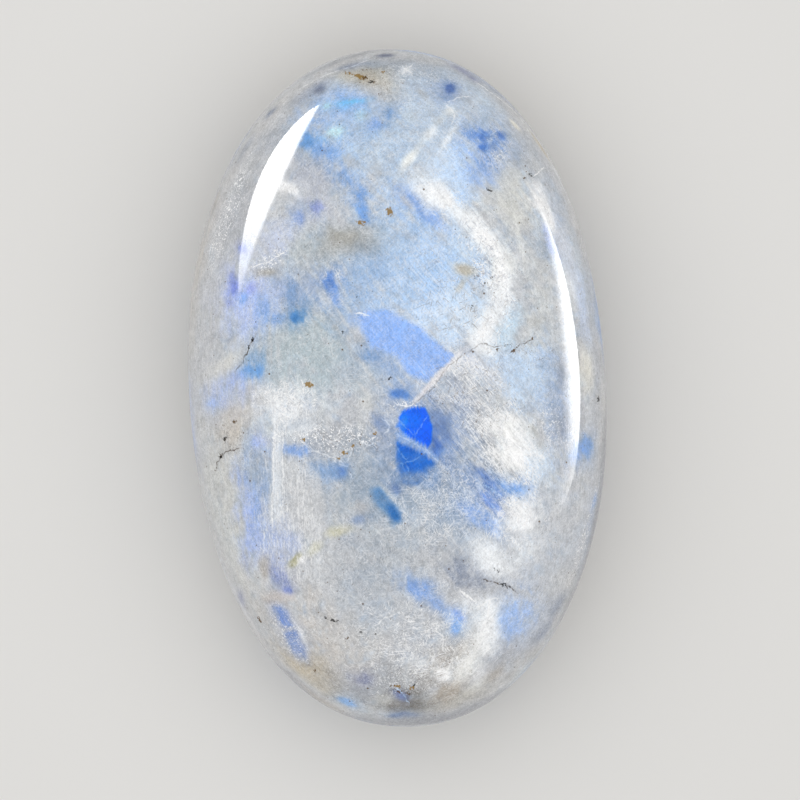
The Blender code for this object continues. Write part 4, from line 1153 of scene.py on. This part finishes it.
class Shading:
    """Short ways to add and join the nodes of a material or a light."""

    def __init__(self, tree):
        self.tree = tree

    def new(self, kind):
        """Add a node."""
        return self.tree.nodes.new(kind)

    def put(self, socket, value):
        """Join a socket to another, or give it a plain value."""
        if isinstance(value, bpy.types.NodeSocket):
            self.tree.links.new(value, socket)
        else:
            socket.default_value = value

    def maths(self, operation, first, second=0.0):
        """A sum, or another operation, on one or two numbers."""
        node = self.new("ShaderNodeMath")
        node.operation = operation
        self.put(node.inputs[0], first)
        self.put(node.inputs[1], second)
        return node.outputs[0]

    def product(self, *values):
        """All of the values multiplied together."""
        total = values[0]
        for value in values[1:]:
            total = self.maths("MULTIPLY", total, value)
        return total

    def total(self, *values):
        """All of the values added together."""
        total = values[0]
        for value in values[1:]:
            total = self.maths("ADD", total, value)
        return total

    def vector_maths(self, operation, vector, socket, value):
        """An operation on a vector and the value at a socket."""
        node = self.new("ShaderNodeVectorMath")
        node.operation = operation
        self.put(node.inputs[0], vector)
        self.put(node.inputs[socket], value)
        return node.outputs[0]

    def scaled(self, vector, factor):
        """A vector or a colour times a number."""
        return self.vector_maths("SCALE", vector, "Scale", factor)

    def shifted(self, vector, offset):
        """A vector moved by another."""
        return self.vector_maths("ADD", vector, 1, offset)

    def split(self, vector):
        """The three numbers of a place or a colour."""
        node = self.new("ShaderNodeSeparateXYZ")
        self.put(node.inputs[0], vector)
        return node.outputs

    def ramp(self, value, low, high, low_out=0.0, high_out=1.0):
        """A smooth step from low_out at low to high_out at high."""
        node = self.new("ShaderNodeMapRange")
        node.interpolation_type = "SMOOTHSTEP"
        for socket, number in zip(node.inputs, (value, low, high, low_out, high_out)):
            self.put(socket, number)
        return node.outputs[0]

    def mix(self, factor, base, top):
        """Lay one colour over another."""
        node = self.new("ShaderNodeMix")
        node.data_type = "RGBA"
        self.put(node.inputs["Factor"], factor)
        self.put(node.inputs[6], base)
        self.put(node.inputs[7], top)
        return node.outputs[2]

    def stored(self, name, output="Fac"):
        """What the skin's vertices hold under a name."""
        node = self.new("ShaderNodeAttribute")
        node.attribute_name = name
        return node.outputs[output]

    def grain(self, place, size, detail, output="Fac", roughness=0.55):
        """Noise in lumps about size millimetres wide."""
        node = self.new("ShaderNodeTexNoise")
        self.put(node.inputs["Vector"], place)
        self.put(node.inputs["Scale"], 1 / size)
        self.put(node.inputs["Detail"], detail)
        self.put(node.inputs["Roughness"], roughness)
        return node.outputs[output]

    def read_skin(self):
        """Its tint, its paleness from 0 over deep blue to 1, and places on it, also bent."""
        self.tint = self.stored("tint", "Color")
        self.paleness = self.ramp(self.split(self.tint)[0], 0.0, 0.45, 0.06, 1.0)
        self.place = self.scaled(self.new("ShaderNodeTexCoord").outputs["Object"], 1 / MM)
        wander = self.grain(self.place, BEND_SIZE, 2.0, "Color", 0.5)
        self.bent = self.shifted(self.place, self.scaled(wander, BEND_DEPTH))

    def stretched(self, turn, length, width, seed):
        """Places squeezed so that noise on them runs in fibres at an angle in plan."""
        node = self.new("ShaderNodeMapping")
        node.vector_type = "TEXTURE"
        self.put(node.inputs["Vector"], self.place if length > STRAIGHT_LENGTH else self.bent)
        node.inputs["Location"].default_value = (seed * 7.3, seed * 3.1, seed * 5.7)
        node.inputs["Rotation"].default_value = (0, 0, math.radians(turn))
        node.inputs["Scale"].default_value = (length, width, width)
        return node.outputs[0]

    def dots(self, size, radius, share, seed):
        """Scattered dots, in a share of the cells of a size."""
        node = self.new("ShaderNodeTexVoronoi")
        place = self.shifted(self.place, (seed * 3.7, seed * 9.1, seed * 5.3))
        self.put(node.inputs["Vector"], place)
        self.put(node.inputs["Scale"], 1 / size)
        near = self.ramp(node.outputs["Distance"], 0.5 * radius / size, radius / size, 1.0, 0.0)
        chosen = self.maths("LESS_THAN", self.split(node.outputs["Color"])[0], share)
        return self.product(near, chosen)


def shade_grain(nodes, colour):
    """Cloudy and fibrous unevenness of brightness."""
    level = 1.0
    for size, detail, low, strength in LUMPS:
        lump = nodes.grain(nodes.place, size, detail)
        level = nodes.total(level, nodes.ramp(lump, low, 1 - low, -strength, strength))
    for kind, turn, length, width, strength in STREAKS:
        fibres = nodes.grain(nodes.stretched(turn, length, width, width), 1.0, 3)
        streak = nodes.ramp(fibres, 0.3, 0.7, -1.0, 1.0)
        where = 1.0 if kind == "all" else nodes.stored(kind)
        level = nodes.total(level, nodes.product(streak, where, strength))
    return nodes.scaled(colour, level)


def shade_hairs(nodes, colour):
    """Fine pale hairs in clumps, sparser over deep blue, and dark ones between felted ones."""
    clumps = [nodes.ramp(nodes.grain(nodes.place, size, 2), 0.40, 0.58, 0.15, 1.0) for size in CLUMP_SIZES]
    seed = 0
    for kind, turns, length, width, rarity, shade, strength in HAIRS:
        hairs = 0.0
        for turn in turns:
            seed += 1
            fibres = nodes.grain(nodes.stretched(turn, length, width, seed), 1.0, 1)
            line = nodes.ramp(fibres, rarity, rarity + 0.08)
            hairs = nodes.maths("MAXIMUM", hairs, nodes.product(line, clumps[seed % len(clumps)]))
        hair = nodes.mix(nodes.paleness, dye(SKY), dye(shade)) if shade == SNOW else dye(shade)
        colour = nodes.mix(nodes.product(hairs, nodes.paleness, nodes.stored(kind), strength), colour, hair)
    return colour


def shade_glints_and_pinholes(nodes, colour):
    """Painted glints as white flecks where the stone is flawed, and dark pinholes all over."""
    for size, turn, rarity in PAINTED_GLINTS:
        spots = nodes.grain(nodes.stretched(turn, 2 * size, size, size), 1.0, 2)
        flecks = nodes.ramp(spots, rarity, rarity + 0.06)
        shown = nodes.product(flecks, nodes.paleness, nodes.stored("glitter"), 0.9)
        colour = nodes.mix(shown, colour, (1.0, 1.0, 1.0, 1.0))
    for size, radius, seed, strength in PINHOLES:
        holes = nodes.dots(size, radius, PINHOLE_SHARE, seed)
        colour = nodes.mix(nodes.product(holes, strength), colour, dye(BROWN))
    return colour


def shade_lines(nodes, colour):
    """Thin bright strokes, some of them painted glints and highlights, brown cracks, and chips of darker
    mineral.
    """
    shake = nodes.ramp(nodes.grain(nodes.place, 0.5, 3), 0.2, 0.8, -LINE_SHAKE, LINE_SHAKE)
    broken = nodes.ramp(nodes.grain(nodes.place, 0.45, 2), 0.36, 0.56, 0.15, 1.0)
    stroke = nodes.mix(nodes.paleness, dye(MESH_CYAN), dye(SNOW))
    crack = dye(CRACK_BROWN)
    for kind, half_width, shade in (("stroke", STROKE_WIDTH, stroke), ("crack", CRACK_WIDTH, crack)):
        off = nodes.maths("ABSOLUTE", nodes.total(nodes.stored(kind + "_gap"), shake))
        line = nodes.ramp(off, 0.2 * half_width, half_width, 1.0, 0.0)
        colour = nodes.mix(nodes.product(line, broken, nodes.stored(kind)), colour, shade)
    edge = nodes.ramp(nodes.grain(nodes.place, 0.22, 2), 0.2, 0.8, -SPECK_SHAKE, SPECK_SHAKE)
    for shade, mineral, rows in SPECKS:
        gap = nodes.total(nodes.stored(shade + "_gap"), edge)
        colour = nodes.mix(nodes.ramp(gap, -0.05, 0.05, 0.9, 0.0), colour, dye(mineral))
    return colour


def new_material(name):
    """A new material and its shader."""
    material = bpy.data.materials.new(name)
    material.use_nodes = True
    return material, material.node_tree.nodes["Principled BSDF"]


def moonstone_material():
    """Milky stone with fibres, hairs, white flecks painted as glints, cracks and chips under a gloss
    polish.
    """
    material, shader = new_material("moonstone_skin")
    nodes = Shading(material.node_tree)
    nodes.read_skin()
    colour = nodes.tint
    for layer in (shade_grain, shade_hairs, shade_glints_and_pinholes, shade_lines):
        colour = layer(nodes, colour)
    nodes.put(shader.inputs["Base Color"], colour)
    shader.inputs["Roughness"].default_value = ROUGHNESS
    shader.inputs["IOR"].default_value = FELDSPAR_IOR
    return material


def make_floor():
    """A plain pale table top, far wider than the view."""
    reach = TABLE_REACH * MM
    corners = [(-reach, -reach, 0), (reach, -reach, 0), (reach, reach, 0), (-reach, reach, 0)]
    mesh = bpy.data.meshes.new("table_top")
    mesh.from_pydata(corners, [], [(0, 1, 2, 3)])
    material, shader = new_material("table_top")
    shader.inputs["Base Color"].default_value = TABLE_COLOUR
    shader.inputs["Roughness"].default_value = TABLE_ROUGHNESS
    mesh.materials.append(material)
    floor = add_object("table_top", mesh)


def shade_panel(data, width, bow, edges, fades):
    """A panel's light in the shape of a bowed lens, with soft edges, fading along its length."""
    data.use_nodes = True
    nodes = Shading(data.node_tree)
    along, across = nodes.split(nodes.new("ShaderNodeNewGeometry").outputs["Parametric"])[:2]
    # How far from the middle towards an end, squared, and how far off the bowed middle line
    end = nodes.maths("POWER", nodes.total(nodes.product(along, 2.0), -1.0), 2.0)
    narrowing = nodes.product(end, -1.0)
    middle = nodes.product(nodes.total(0.5, narrowing), -bow)
    off = nodes.total(nodes.product(nodes.total(across, -0.5), width + abs(bow)), middle)
    half_width = nodes.product(nodes.total(1.0, narrowing), width / 2)
    outer = nodes.ramp(nodes.total(half_width, off), 0.0, edges[0])
    inner = nodes.ramp(nodes.total(half_width, nodes.product(off, -1.0)), 0.0, edges[1])
    fade = nodes.new("ShaderNodeValToRGB")
    nodes.put(fade.inputs[0], along)
    while len(fade.color_ramp.elements) < len(fades):
        fade.color_ramp.elements.new(0.5)
    for element, (position, level) in zip(fade.color_ramp.elements, fades):
        element.position = position
        element.color = (level, level, level, 1.0)
    emission = data.node_tree.nodes["Emission"]
    nodes.put(emission.inputs["Strength"], nodes.product(outer, inner, fade.outputs[0]))


def make_panel(name, heading, elevation, tilt, length, width, bow, edges, power, fades):
    """A soft lens-shaped panel, seen only as its mirror image in the polish."""
    data = bpy.data.lights.new(name, "AREA")
    data.shape = "RECTANGLE"
    data.size = length * MM
    data.size_y = (width + abs(bow)) * MM
    data.energy = power
    shade_panel(data, width, bow, edges, fades)
    turn, rise = math.radians(heading), math.radians(elevation)
    level = math.cos(rise)
    direction = Vector((math.cos(turn) * level, math.sin(turn) * level, math.sin(rise)))
    lamp = add_object(name, data)
    lamp.location = (direction * PANEL_DISTANCE + Vector((0, 0, GIRDLE_HEIGHT))) * MM
    lamp.rotation_mode = "QUATERNION"
    spin = Quaternion((0, 0, 1), math.radians(tilt))
    lamp.rotation_quaternion = direction.to_track_quat("Z", "Y") @ spin
    lamp.visible_camera = False
    lamp.visible_diffuse = False


def make_studio():
    """Even pale surroundings, soft light from above, and two panels mirrored in the polish."""
    world = bpy.data.worlds.new("studio")
    world.use_nodes = True
    sky = world.node_tree.nodes["Background"]
    sky.inputs["Color"].default_value = (1.0, 1.0, 1.0, 1.0)
    sky.inputs["Strength"].default_value = SURROUNDINGS
    bpy.context.scene.world = world
    bpy.context.scene.view_settings.view_transform = "Standard"
    data = bpy.data.lights.new("overhead", "SUN")
    data.energy = OVERHEAD * math.pi
    data.angle = math.radians(OVERHEAD_ANGLE)
    add_object("overhead", data).visible_glossy = False
    for panel in PANELS:
        make_panel(*panel)


def make_camera():
    """Straight down at the stone, which fills the frame as it does in the photograph."""
    distance = SCALE_PER_PIXEL * FRAME_PIXELS * LENS / SENSOR
    aim_x = (FRAME_PIXELS / 2 - STONE_PIXEL[0]) * SCALE_PER_PIXEL
    aim_y = (STONE_PIXEL[1] - FRAME_PIXELS / 2) * SCALE_PER_PIXEL
    data = bpy.data.cameras.new("camera")
    data.lens = LENS
    data.sensor_width = SENSOR
    data.clip_end = 10
    camera = add_object("camera", data)
    camera.location = Vector((aim_x, aim_y, GIRDLE_HEIGHT + distance)) * MM
    bpy.context.scene.camera = camera


skin = make_skin()
skin.data.materials.append(moonstone_material())
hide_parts(NODE)
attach(skin, BODY)
make_floor()
make_studio()
make_camera()
